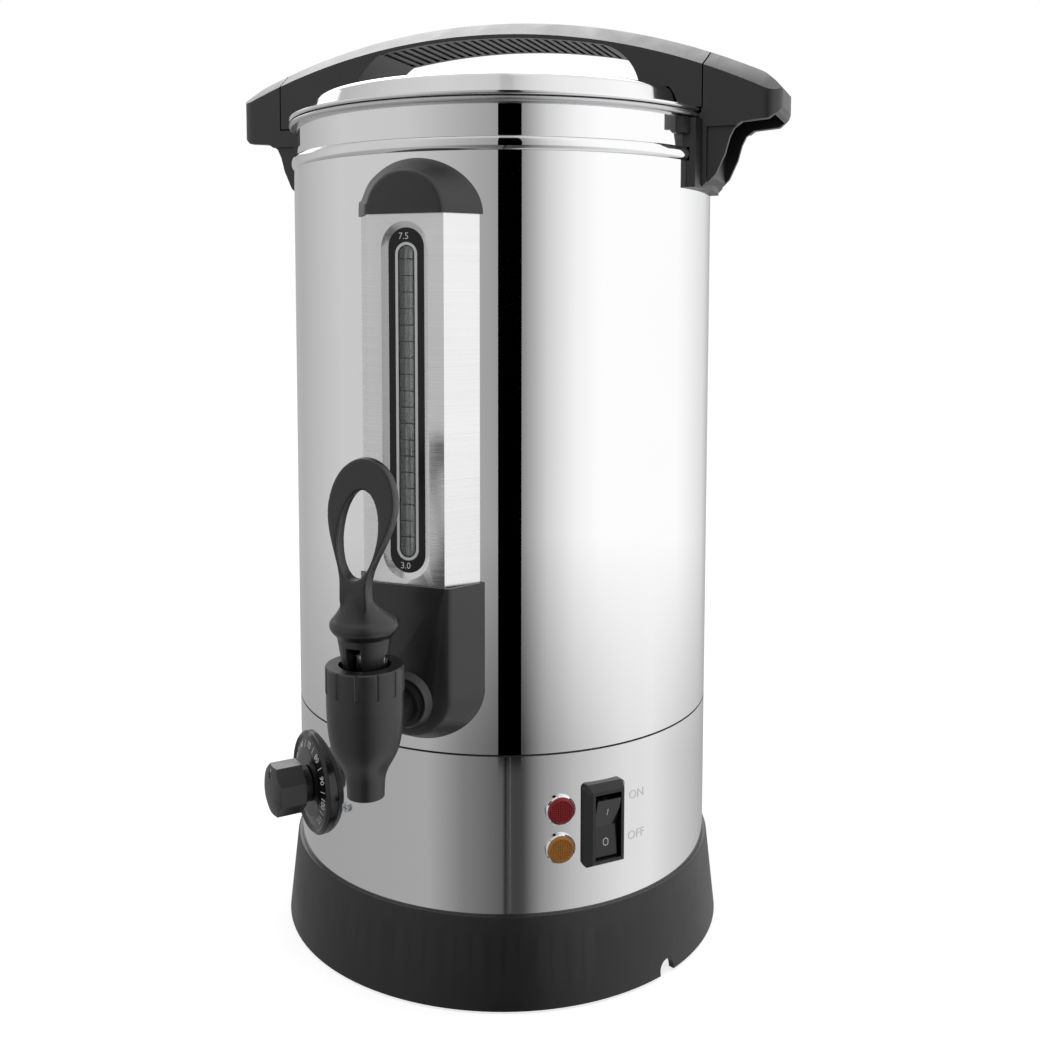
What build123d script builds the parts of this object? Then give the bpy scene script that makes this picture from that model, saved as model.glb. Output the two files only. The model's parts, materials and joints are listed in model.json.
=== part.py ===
from build123d import *
import math
import os

# Hot water urn, 10 litre class. Millimetres, +Z up.
# Origin: on the urn's axis, at the surface that it stands on. The tap faces -Y.
# Azimuths are degrees about the axis, 0 at the tap, positive towards +X.

# ---------------------------------------------------------------- driving sizes
sheet = 0.8                 # stainless sheet used for the shells
plastic_wall = 2.6          # wall of the moulded black parts
slip = 0.1                  # clearance of pieces that are assembled once
run_gap = 0.35              # clearance between bodies that move past each other

shell_radius = 110.0
cutter_from = shell_radius - 10.0    # cutters through the walls start here
cutter_to = shell_radius + 5.0       # and end here
shell_bottom = 121.0
tank_rim_height = 419.2
shell_top = tank_rim_height - 21.0
joggle_depth = 9.0          # how far the shell's lower edge reaches into the band

skirt_bottom = 1.2
skirt_top = 44.0
skirt_radius_bottom = shell_radius + 7.0
skirt_radius_top = shell_radius + 2.2
skirt_wall = 3.0
band_seat = skirt_top - 7.0 # ledge in the skirt that carries the band

cover_plate_seat = 8.0      # underside of the bottom cover
cover_plate_thick = 1.2
vent_slot_count = 8
vent_slot_middle = 64.0
foot_radius = 10.0
foot_circle = shell_radius - 24.0
foot_count = 4
boss_circle = shell_radius - 3.0
boss_radius = 5.0
base_screw_count = 4

notch_azimuth = 65.0        # cord outlet at the right front of the skirt
notch_width = 10.0
notch_height = 6.6
gland_circle = shell_radius - 14.0
gland_bore = 3.6

tank_radius = shell_radius - 5.5
tank_bottom = shell_bottom + 6.0
tank_corner = 7.0
rim_roll = 1.4              # radius of the rolled edge of the tank
rim_radius = shell_radius + 2.5

collar_radius = shell_radius - 1.5
collar_foot = shell_top - 2.8
bead_height = 6.4
bead_radius = shell_radius + 1.3

lid_rim_radius = shell_radius + 3.0
lid_rim_seat = tank_rim_height + 3.0
lid_roll = 1.15
lid_flange_top = lid_rim_seat + 1.8
lid_dome_height = lid_flange_top + 11.3
lid_dome_top_radius = tank_radius - 6.0
lid_dome_foot_radius = tank_radius - 1.9
lid_plug_radius = tank_radius - 1.6
lid_plug_depth = 9.0
lid_screw_reach = lid_dome_top_radius - 10.5
lid_screw_pitch = 18.0

handle_half_width = 21.5
handle_crown_half_width = 10.0
handle_arc_radius = 352.0
handle_arc_centre = lid_dome_height + 39.5 - handle_arc_radius
handle_arc_shift = -10.0    # X of the arc's crown, off the urn's axis
handle_bevel_drop = 7.6
handle_grip_arc = handle_arc_radius - 9.5   # radius of the underside of the lid handle
grip_rib_count = 25
grip_rib_pitch = 5.0
grip_rib_width = 2.6
grip_rib_depth = 1.1
grip_opening_half = 81.0
grip_opening_foot = lid_dome_height + 3.7   # height where the opening's ends turn upright
lid_handle_foot = lid_flange_top + 0.7
seam_radius_left = shell_radius + 15.0
seam_radius_right = shell_radius + 3.6
seam_gap = 0.6

side_tip_reach = shell_radius + 39.5
side_tip_corner = 9.0       # rounding of the tips seen from above
side_tip_slope = 12.0       # how far the rounding of their top edge reaches in
side_tip_drop = 4.4         # how much it lowers the tip
side_tip_bottom = tank_rim_height + 1.8
side_pad_bottom = tank_rim_height - 33.7
side_pad_half_width = 29.0
side_pad_thick = 4.2
side_ledge = tank_rim_height + 4.8
side_web_top = tank_rim_height - 4.2
side_web_recess = 2.6
side_screw_height = side_pad_bottom + 5.5
side_screw_reach = shell_radius + side_pad_thick + 0.2   # tip of the handle screws

tap_height = 149.2          # axis of the tap's tail pipe
tap_reach = shell_radius + 53.0   # tap axis in front of the urn's axis
tap_top = tap_height + 18.2
tap_outlet_bottom = tap_height - 28.9
tail_radius = 8.0
tail_bore = 5.4
tail_end = tank_radius - 13.5
valve_bore = 11.5
outlet_bore = 5.6
valve_seat = tap_height - 11.2
collar_nut_radius = 16.8
collar_nut_bottom = tap_top - 0.7
collar_nut_top = tap_top + 10.4
collar_nut_mouth = 11.2
flute_count = 12
flute_radius = 1.1
bonnet_top = tap_top + 3.6
bonnet_foot = tap_top - 7.4
stem_radius = 3.0
stem_lift = 4.0
stem_disc_foot = valve_seat + 3.4
stem_disc_top = stem_disc_foot + 2.0
lever_pivot = tap_top + 13.6
lever_pin_radius = 1.5
lever_cup_drop = 4.4        # from the pivot to the bottom of the lever's cup
lever_cup_radius = 9.4
cup_slot = 2 * stem_radius + 0.3

housing_face = shell_radius + 13.6
housing_half_front = 23.0
housing_half_back = 32.0
housing_top = tap_height + 53.3
housing_shoulder = tap_height + 3.3
housing_bottom = tap_height - 24.4
housing_wall = 1.6
boss_depth = 2.6            # how far the housing's inner boss reaches back
front_round = 3.2           # rounding of the front edges of the housing and the cap

cap_face = shell_radius + 13.3
cap_bottom = shell_top - 28.4
cap_front_radius = 20.3
cap_back_half = 31.5
cap_back_rise = 27.5
cap_screw_height = cap_bottom + 12.0
cap_screw_azimuth = 6.0
cover_tuck = 2.6            # how far the gauge cover reaches up into the cap

cover_face = shell_radius + 11.6
cover_half_front = 18.9
cover_half_back = 29.8
cover_bottom = housing_top - 16.5
cover_top = cap_bottom + cover_tuck
window_bottom = housing_top + 2.3
window_top = cap_bottom - 3.3
window_half_outer = 11.5
window_half_inner = 8.7
window_depth = 1.7

tube_radius = 3.6
tube_bore = 2.6
tube_reach = shell_radius + 5.5
gasket_thick = 0.8
seal_wall = 0.5
tube_bottom = tap_height + 9.8
tube_top = cap_bottom + 14.2
plate_thick = 0.8
plate_half = 10.4
slot_half = 3.6
slot_bottom = window_bottom + 10.2
slot_top = window_top - 11.0

dial_azimuth = -40.0
dial_height = skirt_top + 41.0
dial_bezel_radius = 26.0
dial_bezel_face = shell_radius + 3.6
knob_radius = 13.4          # to the corners of its eight sides
knob_hub_radius = 9.0
hub_base = dial_bezel_face + 0.6
knob_base = hub_base + 4.4
knob_end = knob_base + 15.2
shaft_radius = 3.0
shaft_grip = 13.0           # how far the spindle reaches into the hub and the knob
dial_screw_turn = 17.2      # degrees from the dial to each of its screws
dial_screw_height = dial_height - 2.0

switch_azimuth = 46.6
switch_height = skirt_top + 40.5
switch_width = 22.0
switch_tall = 40.0
switch_face = shell_radius + 5.6
switch_skirt = 1.6          # upright part of the frame's sides
switch_taper = 32.0         # degrees that the sides lean in above it
rocker_axis_reach = shell_radius - 4.6
rocker_width = 12.6
rocker_tall = 29.0
rocker_swing = 12.0

lamp_azimuth = 35.2
lamp_heights = (skirt_top + 49.8, skirt_top + 31.2)
lamp_ring_radius = 7.2
lamp_lens_radius = 6.6

heater_radius = tank_radius - 26.5
heater_thick = 8.0
element_circle = heater_radius - 22.0
element_radius = 4.1
stud_circle = 38.0
stud_count = 3
stud_radius = 2.3
reset_azimuth = 200.0
reset_circle = 40.0


# ---------------------------------------------------------------- helpers
def ring_point(azimuth, radius, height=0.0):
    """A point at an azimuth, a distance from the axis and a height."""
    a = math.radians(azimuth)
    return Vector(radius * math.sin(a), -radius * math.cos(a), height)


def face_plane(azimuth, distance, height):
    """A plane that faces outward: local X along the skin, local Y up."""
    a = math.radians(azimuth)
    return Plane(origin=ring_point(azimuth, distance, height),
                 x_dir=(math.cos(a), math.sin(a), 0), z_dir=(math.sin(a), -math.cos(a), 0))


def turned(points):
    """Solid of revolution about Z from (radius, height) points."""
    profile = make_face(Plane.XZ * Polyline(*points, close=True))
    return revolve(profile, Axis.Z)


def post(x, y, bottom, top, radius):
    """Upright cylinder."""
    return Pos(x, y, (bottom + top) / 2) * Cylinder(radius, top - bottom)


def tube(radius, bore, bottom, top):
    """Upright tube on the urn's axis."""
    return post(0, 0, bottom, top, radius) - post(0, 0, bottom - 1, top + 1, bore)


def forward(distance_from, distance_to, height, radius):
    """Cylinder along -Y between two distances from the urn's axis."""
    length = distance_to - distance_from
    at = Pos(0, -(distance_from + distance_to) / 2, height)
    return at * Rot(90, 0, 0) * Cylinder(radius, length)


def outward(azimuth, distance_from, distance_to, height, radius):
    """Cylinder that points outward at an azimuth, between two distances from the axis."""
    middle = (distance_from + distance_to) / 2
    return face_plane(azimuth, middle, height) * Cylinder(radius, distance_to - distance_from)


def outward_box(azimuth, distance_from, distance_to, height, width, tall):
    """Box that points outward at an azimuth."""
    middle = (distance_from + distance_to) / 2
    return face_plane(azimuth, middle, height) * Box(width, tall, distance_to - distance_from)


def group(solids):
    """Several separate solids kept in one node."""
    return Compound(children=list(solids))


def pick(shape):
    """The largest solid of a cut shape, without slivers."""
    return max(shape.solids(), key=lambda s: s.volume)


# ---------------------------------------------------------------- base
def skirt_radius(height):
    """Outer radius of the flared skirt at a height."""
    share = (height - skirt_bottom) / (skirt_top - skirt_bottom)
    return skirt_radius_bottom + (skirt_radius_top - skirt_radius_bottom) * share


def base_skirt():
    """Flared skirt with a ledge for the band, screw bosses and the cord notch."""
    inner_top = shell_radius + slip
    edge = 1.2
    skirt = turned([
        (skirt_radius(skirt_bottom) - skirt_wall, skirt_bottom),
        (skirt_radius(skirt_bottom), skirt_bottom),
        (skirt_radius(skirt_top - edge), skirt_top - edge),
        (skirt_radius_top - edge / 2, skirt_top),
        (inner_top, skirt_top),
        (inner_top, band_seat),
        (shell_radius - 3.0, band_seat),
        (shell_radius - 3.0, band_seat - 2.5),
        (skirt_radius(band_seat) - skirt_wall, band_seat - 7.5),
    ])
    bosses = []
    boss_bottom = cover_plate_seat + cover_plate_thick
    for i in range(base_screw_count):
        at = ring_point(360 / base_screw_count * i, boss_circle)
        bosses.append(post(at.X, at.Y, boss_bottom, band_seat - 3, boss_radius))
    skirt = skirt + bosses
    for i in range(base_screw_count):
        at = ring_point(360 / base_screw_count * i, boss_circle)
        skirt -= post(at.X, at.Y, boss_bottom - 1, boss_bottom + 12, 1.6)
    arch = notch_width / 2
    notch_middle = skirt_bottom + notch_height - arch
    notch_end = skirt_radius_bottom + 5
    notch = outward(notch_azimuth, shell_radius - 5, notch_end, notch_middle, arch)
    notch += outward_box(notch_azimuth, shell_radius - 5, notch_end, notch_middle - 5, notch_width, 10)
    return skirt - notch


def bottom_cover():
    """Round steel plate with vent slots and holes for feet, screws, gland and reset."""
    top = cover_plate_seat + cover_plate_thick
    radius = skirt_radius(top) - skirt_wall - 0.4
    plate = post(0, 0, cover_plate_seat, top, radius)
    for i in range(base_screw_count):
        at = ring_point(360 / base_screw_count * i, boss_circle)
        plate -= post(at.X, at.Y, cover_plate_seat - 1, top + 1, 1.9)
    for at in foot_places():
        plate -= post(at.X, at.Y, cover_plate_seat - 1, top + 1, 3.1)
    gland_at = ring_point(notch_azimuth, gland_circle)
    plate -= post(gland_at.X, gland_at.Y, cover_plate_seat - 1, top + 1, gland_bore + 2.0)
    reset_at = ring_point(reset_azimuth, reset_circle)
    plate -= post(reset_at.X, reset_at.Y, cover_plate_seat - 1, top + 1, 3.4)
    for i in range(vent_slot_count):
        angle = 360 / vent_slot_count * (i + 0.5)
        plate -= Rot(0, 0, angle) * Pos(vent_slot_middle, 0, cover_plate_seat) * Box(22, 3, 40)
    return plate


def foot_places():
    """Where the rubber feet are."""
    return [ring_point(360 / foot_count * i + 45, foot_circle) for i in range(foot_count)]


def feet():
    """Push-in rubber feet, each with a neck through the bottom cover and a barb."""
    top = cover_plate_seat + cover_plate_thick
    pieces = []
    for at in foot_places():
        pad = turned([(0, 0), (foot_radius - 1.5, 0), (foot_radius, 1.5),
                      (foot_radius - 0.8, cover_plate_seat), (3.0, cover_plate_seat),
                      (3.0, top), (4.2, top + slip), (2.2, top + 4), (0, top + 4)])
        pieces.append(Pos(at.X, at.Y, 0) * pad)
    return group(pieces)


def base_screws():
    """Screws that hold the bottom cover to the skirt's bosses."""
    pieces = []
    for i in range(base_screw_count):
        at = ring_point(360 / base_screw_count * i, boss_circle)
        screw = turned([(0, cover_plate_seat - 2.2), (2.6, cover_plate_seat - 2.2),
                        (3.4, cover_plate_seat), (1.5, cover_plate_seat),
                        (1.5, cover_plate_seat + 11), (0, cover_plate_seat + 12.5)])
        slot = Pos(0, 0, cover_plate_seat - 2.2) * (Box(4.2, 0.8, 1.6) + Box(0.8, 4.2, 1.6))
        pieces.append(Pos(at.X, at.Y, 0) * (screw - slot))
    return group(pieces)


def cable_gland():
    """Rubber grommet in the bottom cover, beside the notch of the skirt."""
    at = ring_point(notch_azimuth, gland_circle)
    top = cover_plate_seat + cover_plate_thick
    ring = turned([(gland_bore, cover_plate_seat - 2.4), (gland_bore + 4, cover_plate_seat - 2.4),
                   (gland_bore + 4, cover_plate_seat), (gland_bore + 1.9, cover_plate_seat),
                   (gland_bore + 1.9, top), (gland_bore + 4, top),
                   (gland_bore + 3, top + 3), (gland_bore, top + 3)])
    return Pos(at.X, at.Y, 0) * ring


# ---------------------------------------------------------------- shells
def lower_band():
    """Short stainless band that carries the controls."""
    band = tube(shell_radius, shell_radius - sheet, band_seat, shell_bottom - 0.3)
    band -= outward(dial_azimuth, cutter_from, cutter_to, dial_height, shaft_radius + 2.5)
    for side in (-1, 1):
        azimuth = dial_azimuth + side * dial_screw_turn
        band -= outward(azimuth, cutter_from, cutter_to, dial_screw_height, 1.6)
    for height in lamp_heights:
        band -= outward(lamp_azimuth, cutter_from, cutter_to, height, lamp_lens_radius - 0.8)
    band -= outward_box(switch_azimuth, cutter_from, cutter_to, switch_height,
                        rocker_width + 2.2, rocker_tall + 2.2)
    return band


def outer_shell():
    """Tall mirror-finished shell; its joggled lower edge nests in the band."""
    inset = sheet + slip
    low = shell_bottom - joggle_depth
    shell = turned([
        (shell_radius - inset - sheet, low), (shell_radius - inset, low),
        (shell_radius - inset, shell_bottom), (shell_radius, shell_bottom),
        (shell_radius, shell_top), (shell_radius - sheet, shell_top),
        (shell_radius - sheet, shell_bottom + 1.2), (shell_radius - inset - sheet, shell_bottom),
    ])
    shell -= forward(cutter_from, cutter_to, tap_height, tail_radius + slip)
    for azimuth in cap_screw_azimuths():
        shell -= outward(azimuth, cutter_from, cutter_to, cap_screw_height, 1.7)
    for side in (-1, 1):
        for y in handle_screw_places():
            hole = Pos(side * shell_radius, y, side_screw_height) * Rot(0, 90, 0)
            shell -= hole * Cylinder(2.1, 12)
    return shell


def collar_ring():
    """Neck ring under the lid with a rolled bead that sits on the shell's top edge."""
    inner = collar_radius - sheet
    half = bead_height / 2
    middle = shell_top + half
    depth = bead_radius - inner
    with_bead = [(inner, collar_foot), (collar_radius, collar_foot), (collar_radius, shell_top)]
    for i in range(7):
        a = math.radians(-90 + 30 * i)
        with_bead.append((inner + depth * (0.55 + 0.45 * math.cos(a)), middle + half * math.sin(a)))
    with_bead += [(collar_radius, shell_top + bead_height),
                  (collar_radius, tank_rim_height), (inner, tank_rim_height)]
    return turned(with_bead)


def inner_tank():
    """Water tank: deep-drawn pot whose rolled rim hangs on the neck ring."""
    inner = tank_radius - sheet
    wall = turned([
        (0, tank_bottom), (tank_radius - tank_corner, tank_bottom),
        (tank_radius - tank_corner * 0.3, tank_bottom + tank_corner * 0.3),
        (tank_radius, tank_bottom + tank_corner),
        (tank_radius, tank_rim_height),
        (rim_radius - rim_roll, tank_rim_height),
        (rim_radius - rim_roll, tank_rim_height + sheet),
        (inner, tank_rim_height + sheet),
        (inner, tank_bottom + tank_corner),
        (inner - tank_corner * 0.3, tank_bottom + tank_corner * 0.3 + sheet / 2),
        (tank_radius - tank_corner, tank_bottom + sheet), (0, tank_bottom + sheet),
    ])
    roll_at = Plane.XZ * Pos(rim_radius - rim_roll, tank_rim_height + rim_roll)
    roll = revolve(roll_at * Circle(rim_roll), Axis.Z)
    tank = wall + roll
    return tank - forward(tank_radius - 9.5, tank_radius + 3.5, tap_height, tail_radius + slip)


# ---------------------------------------------------------------- lid
def lid():
    """Pressed lid with a raised dome, a rolled rim and a short plug inside the tank."""
    plug_inner = lid_plug_radius - sheet
    dome = lid_dome_height
    foot = lid_flange_top
    pressed = turned([
        (0, dome), (lid_dome_top_radius - 3.5, dome), (lid_dome_top_radius - 1.0, dome - 0.8),
        (lid_dome_top_radius + 0.8, dome - 3.0), (lid_dome_foot_radius - 0.4, foot + 1.2),
        (lid_dome_foot_radius + 0.6, foot), (lid_rim_radius - lid_roll, foot),
        (lid_rim_radius - lid_roll, foot - sheet), (lid_plug_radius, foot - sheet),
        (lid_plug_radius, foot - lid_plug_depth), (plug_inner, foot - lid_plug_depth),
        (plug_inner, foot - sheet), (lid_dome_foot_radius - 1.4, foot),
        (lid_dome_top_radius - 0.4, dome - 3.6), (lid_dome_top_radius - 3.8, dome - sheet),
        (0, dome - sheet),
    ])
    roll_at = Plane.XZ * Pos(lid_rim_radius - lid_roll, lid_rim_seat + lid_roll)
    roll = revolve(roll_at * Circle(lid_roll), Axis.Z)
    piece = pressed + roll
    for x, y in lid_screw_places():
        piece -= post(x, y, dome - 4, dome + 4, 2.2)
    return piece - post(0, 40, dome - 4, dome + 4, 1.5)


def lid_screw_places():
    """Where the handle is screwed to the lid, from below."""
    half = lid_screw_pitch / 2
    return [(x, y) for x in (-lid_screw_reach, lid_screw_reach) for y in (-half, half)]


def lid_seal():
    """Silicone ring under the lid's flange."""
    top = lid_flange_top - sheet
    low = tank_rim_height + sheet + run_gap
    return turned([(lid_plug_radius + slip, low + 1.2), (lid_plug_radius + slip, top),
                   (rim_radius - 2 * rim_roll - 0.6, top), (rim_radius - 2 * rim_roll - 1.6, low),
                   (tank_radius + 1.0, low)])


def lid_screws():
    """Screws from inside the lid up into the handle's feet."""
    head = lid_dome_height - sheet
    pieces = []
    for x, y in lid_screw_places():
        screw = turned([(0, head - 2.4), (2.8, head - 2.4), (3.8, head), (2.0, head),
                        (2.0, head + 10), (0, head + 11)])
        pieces.append(Pos(x, y, 0) * screw)
    return group(pieces)


def handle_envelope():
    """Long arched bar with bevelled top edges, from which all three handles are cut."""
    low = handle_arc_radius - 130.0
    edge = handle_arc_radius - handle_bevel_drop
    half = handle_half_width
    crown = handle_crown_half_width
    section = make_face([
        Polyline((-crown, handle_arc_radius), (-half, edge), (-half, low), (half, low),
                 (half, edge), (crown, handle_arc_radius)),
        ThreePointArc((crown, handle_arc_radius), (0, handle_arc_radius + 0.8),
                      (-crown, handle_arc_radius)),
    ])
    # Section plane: local X along Y, local Y up from the arc's centre.
    middle = (handle_arc_shift, 0, handle_arc_centre)
    plane = Plane(origin=middle, x_dir=(0, 1, 0), z_dir=(1, 0, 0))
    axis = Axis(middle, (0, 1, 0))
    bar = revolve(plane * section, axis, 120)
    return bar.rotate(axis, -60)


def side_extrude(points, half_width):
    """Solid from an outline in (x, z), as wide as twice half_width along Y."""
    face = make_face(Plane.XZ * Polyline(*points, close=True))
    return extrude(face, half_width, both=True)


def arc_height(radius, x):
    """Height of a long handle arc at x."""
    across = x - handle_arc_shift
    return handle_arc_centre + math.sqrt(radius * radius - across * across)


def lid_handle():
    """Arched handle across the lid, ribbed under the grip; its ends meet the side handles."""
    half = grip_opening_half
    top = handle_arc_centre + handle_arc_radius + 5
    left, right = -seam_radius_left - 5, seam_radius_right + 5
    block = side_extrude([(left, lid_handle_foot), (right, lid_handle_foot), (right, top), (left, top)],
                         handle_half_width + 1)
    # Finger opening: bounded above by the grip arc, closed at both ends by rounded feet.
    under = lid_dome_height - 130.0
    shoulder = half - 19.0
    shoulder_left = arc_height(handle_grip_arc, -shoulder)
    shoulder_right = arc_height(handle_grip_arc, shoulder)
    foot = grip_opening_foot
    bend = foot + 10.5
    right_end = ThreePointArc((shoulder, shoulder_right), (half - 6.5, bend), (half - 1.0, foot))
    left_end = ThreePointArc((-half + 1.0, foot), (-half + 6.5, bend), (-shoulder, shoulder_left))
    crown = ThreePointArc((-shoulder, shoulder_left), (0, arc_height(handle_grip_arc, 0)),
                          (shoulder, shoulder_right))
    opening = Plane.XZ * make_face([
        crown, right_end,
        Polyline((half - 1.0, foot), (half, foot - 5.0), (half, under), (-half, under),
                 (-half, foot - 5.0), (-half + 1.0, foot)),
        left_end,
    ])
    block -= extrude(opening, handle_half_width + 5, both=True)
    block = block & handle_envelope()
    # The feet stand on the dome and on the lid's flange.
    block -= turned([(0, lid_flange_top - 99), (lid_rim_radius + 3, lid_flange_top - 99),
                     (lid_rim_radius + 3, lid_flange_top + 0.6),
                     (lid_dome_foot_radius + 1.0, lid_flange_top + 0.6),
                     (lid_dome_foot_radius + 0.2, lid_flange_top + 1.6),
                     (lid_dome_top_radius + 1.2, lid_dome_height - 2.8),
                     (lid_dome_top_radius - 0.8, lid_dome_height),
                     (0, lid_dome_height)])
    # Both ends are round about the urn's axis and stop short of the side handles.
    slab = Box(400, 80, 120)
    low, high = lid_flange_top - 10, lid_dome_height + 70
    right_stop = post(0, 0, low, high, seam_radius_right) & (Pos(200, 0, lid_dome_height) * slab)
    left_stop = post(0, 0, low, high, seam_radius_left) & (Pos(-200, 0, lid_dome_height) * slab)
    block = block & (right_stop + left_stop)
    first = -grip_rib_pitch * (grip_rib_count - 1) / 2
    for i in range(grip_rib_count):
        x = first + grip_rib_pitch * i
        z = arc_height(handle_grip_arc, x)
        tilt = math.degrees(math.asin((x - handle_arc_shift) / handle_grip_arc))
        groove = Box(grip_rib_pitch - grip_rib_width, 2 * handle_half_width - 6, 2 * grip_rib_depth)
        block -= Pos(x, 0, z) * Rot(0, tilt, 0) * groove
    for x, y in lid_screw_places():
        block -= post(x, y, lid_dome_height - 1, lid_dome_height + 11.5, 2.05)
    return pick(block)


# ---------------------------------------------------------------- side handles
def handle_screw_places():
    """Y of the two screws of each side handle."""
    return (-9.5, 9.5)


def urn_outline(gap):
    """Everything the side handles must clear: shell, bead, neck, tank rim and lid rim."""
    low, high = side_pad_bottom - 80.0, side_tip_bottom + 80.0
    return turned([
        (0, low), (shell_radius + gap, low), (shell_radius + gap, shell_top),
        (bead_radius + gap, shell_top), (bead_radius + gap, shell_top + bead_height + gap),
        (collar_radius + gap, shell_top + bead_height + gap),
        (collar_radius + gap, tank_rim_height - gap),
        (rim_radius + gap, tank_rim_height - gap), (rim_radius + gap, lid_rim_seat - 0.4),
        (lid_rim_radius + run_gap + 0.2, lid_rim_seat - 0.4), (lid_rim_radius + run_gap + 0.2, high),
        (0, high),
    ])


def side_handle(side):
    """Side handle: hollow grip, two webs below it and a pad on the shell. side is -1 or 1."""
    seam = seam_radius_right if side > 0 else seam_radius_left
    tip = side_tip_reach
    bottom = side_tip_bottom
    grip_under = side_web_top + 1.6
    inside = shell_radius - 20.0
    high = side_tip_bottom + 80.0
    low = side_pad_bottom - 80.0
    # The top edge of the tip is rounded in three steps.
    rounding = []
    for share in (0.0, 0.33, 0.67, 1.0):
        x = tip - side_tip_slope * share
        drop = side_tip_drop * (1 - share) ** 2 - 0.9 * share ** 4
        rounding.append((x, arc_height(handle_arc_radius, side * x) - drop))
    outline = [
        (inside, side_pad_bottom), (shell_radius + 1.5, side_pad_bottom),
        (shell_radius + 8.5, side_pad_bottom + 7.0),
        (shell_radius + 12.8, side_pad_bottom + 16.5), (shell_radius + 14.8, side_pad_bottom + 24.0),
        (shell_radius + 17.0, side_pad_bottom + 28.5), (shell_radius + 21.0, grip_under + 0.2),
        (tip - 6.0, grip_under + 1.2), (tip - 1.6, bottom), (tip, bottom + 2.6),
        *rounding, (tip - side_tip_slope, high), (inside, high),
    ]
    body = side_extrude([(side * x, z) for x, z in outline], handle_half_width + 1)
    body = body & handle_envelope()
    # Rounded tips in plan.
    plan = Pos(side * (inside + tip) / 2, 0, (low + high) / 2)
    plan_block = plan * Box(tip - inside, 2 * handle_half_width, high - low)
    tip_edges = [e for e in plan_block.edges().filter_by(Axis.Z) if abs(e.center().X) > tip - 1]
    body = body & fillet(tip_edges, side_tip_corner)
    # Hollow under the grip, open downwards, between two webs.
    inner_wall = seam + seam_gap + plastic_wall
    room_start = shell_radius + side_pad_thick + 2.4
    room_top_at = max(shell_radius + 19.0, inner_wall + 3.0)
    room_top = arc_height(handle_arc_radius - handle_bevel_drop, side * room_top_at) - 3.5
    ceiling = side_ledge - 2.5
    room = side_extrude([(side * x, z) for x, z in
                         [(room_start, low), (tip + 20, low), (tip + 20, bottom - 6),
                          (tip - 3.4, bottom - 6), (tip - 3.4, bottom + 1.5),
                          (room_top_at, room_top), (inner_wall, room_top),
                          (inner_wall, ceiling), (room_start, ceiling)]],
                        handle_half_width - side_web_recess - plastic_wall)
    body -= room
    for y_side in (-1, 1):
        y = y_side * (handle_half_width - side_web_recess / 2 + 2)
        cut = Box(60, side_web_recess + 4, side_web_top - low)
        body -= Pos(side * (shell_radius + 30 + side_pad_thick), y, (side_web_top + low) / 2) * cut
    # Pad that hugs the shell, and the ear that hugs the neck.
    pad_top = tank_rim_height - 0.6
    pad_skin = tube(shell_radius + side_pad_thick, collar_radius - 5, side_pad_bottom, pad_top)
    pad_cut = Pos(side * shell_radius, 0, (side_pad_bottom + pad_top) / 2)
    pad = pad_skin & (pad_cut * Box(60, 2 * side_pad_half_width, pad_top - side_pad_bottom))
    ear_low = tank_rim_height - 8.2
    ear_skin = tube(shell_radius + 1.6, collar_radius - 5, ear_low, pad_top)
    ear_cut = Pos(side * shell_radius, 0, (ear_low + pad_top) / 2)
    ear = ear_skin & (ear_cut * Box(60, 72, pad_top - ear_low))
    body = body + pad + ear
    body -= urn_outline(slip)
    for y in handle_screw_places():
        depth = side_screw_reach + 0.4 - inside
        bore = Pos(side * (inside + depth / 2), y, side_screw_height) * Rot(0, 90, 0)
        body -= bore * Cylinder(1.7, depth)
    # Above the ledge the inner end stays clear of the lid handle's round end.
    clear = post(0, 0, side_ledge, high + 50, seam + seam_gap)
    body -= clear
    return pick(body)


def handle_screws():
    """Screws from inside the shell into the side handles."""
    pieces = []
    inner = shell_radius - sheet
    for side in (-1, 1):
        for y in handle_screw_places():
            flat = math.sqrt(inner * inner - y * y)
            tip = side_screw_reach - flat
            screw = turned([(0, -2.4), (3.4, -2.4), (3.8, -1.0), (3.8, -0.4), (1.6, -0.4),
                            (1.6, tip - 0.8), (0, tip)])
            at = Pos(side * flat, y, side_screw_height) * Rot(0, 90 * side, 0)
            pieces.append(at * screw)
    return group(pieces)


# ---------------------------------------------------------------- water gauge
def trapezoid(face, half_front, half_back, bottom, top):
    """Upright block whose front is a flat face and whose sides slope back to the shell."""
    back = cutter_from
    touch = math.sqrt(shell_radius ** 2 - half_back ** 2)
    slope = (half_back - half_front) / (face - touch)
    half_deep = half_back + slope * (touch - back)
    outline = make_face(Polyline((-half_front, -face), (half_front, -face), (half_deep, -back),
                                 (-half_deep, -back), close=True))
    return extrude(Pos(0, 0, bottom) * outline, top - bottom)


def stadium(half, bottom, top, face, depth, spread=0.0):
    """Upright slot with round ends, from a front face inwards; spread widens its front."""
    plane = Plane(origin=(0, -face, (bottom + top) / 2), x_dir=(1, 0, 0), z_dir=(0, -1, 0))
    front = plane * SlotOverall(top - bottom, 2 * half, rotation=90)
    if spread == 0.0:
        return extrude(front, -depth)
    taper = math.degrees(math.atan(spread / depth))
    return extrude(front, -depth, taper=taper)


def shell_core(radius=shell_radius):
    """Solid cylinder used to seat pieces on the shell."""
    return post(0, 0, 0, tank_rim_height + 80, radius)


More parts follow.
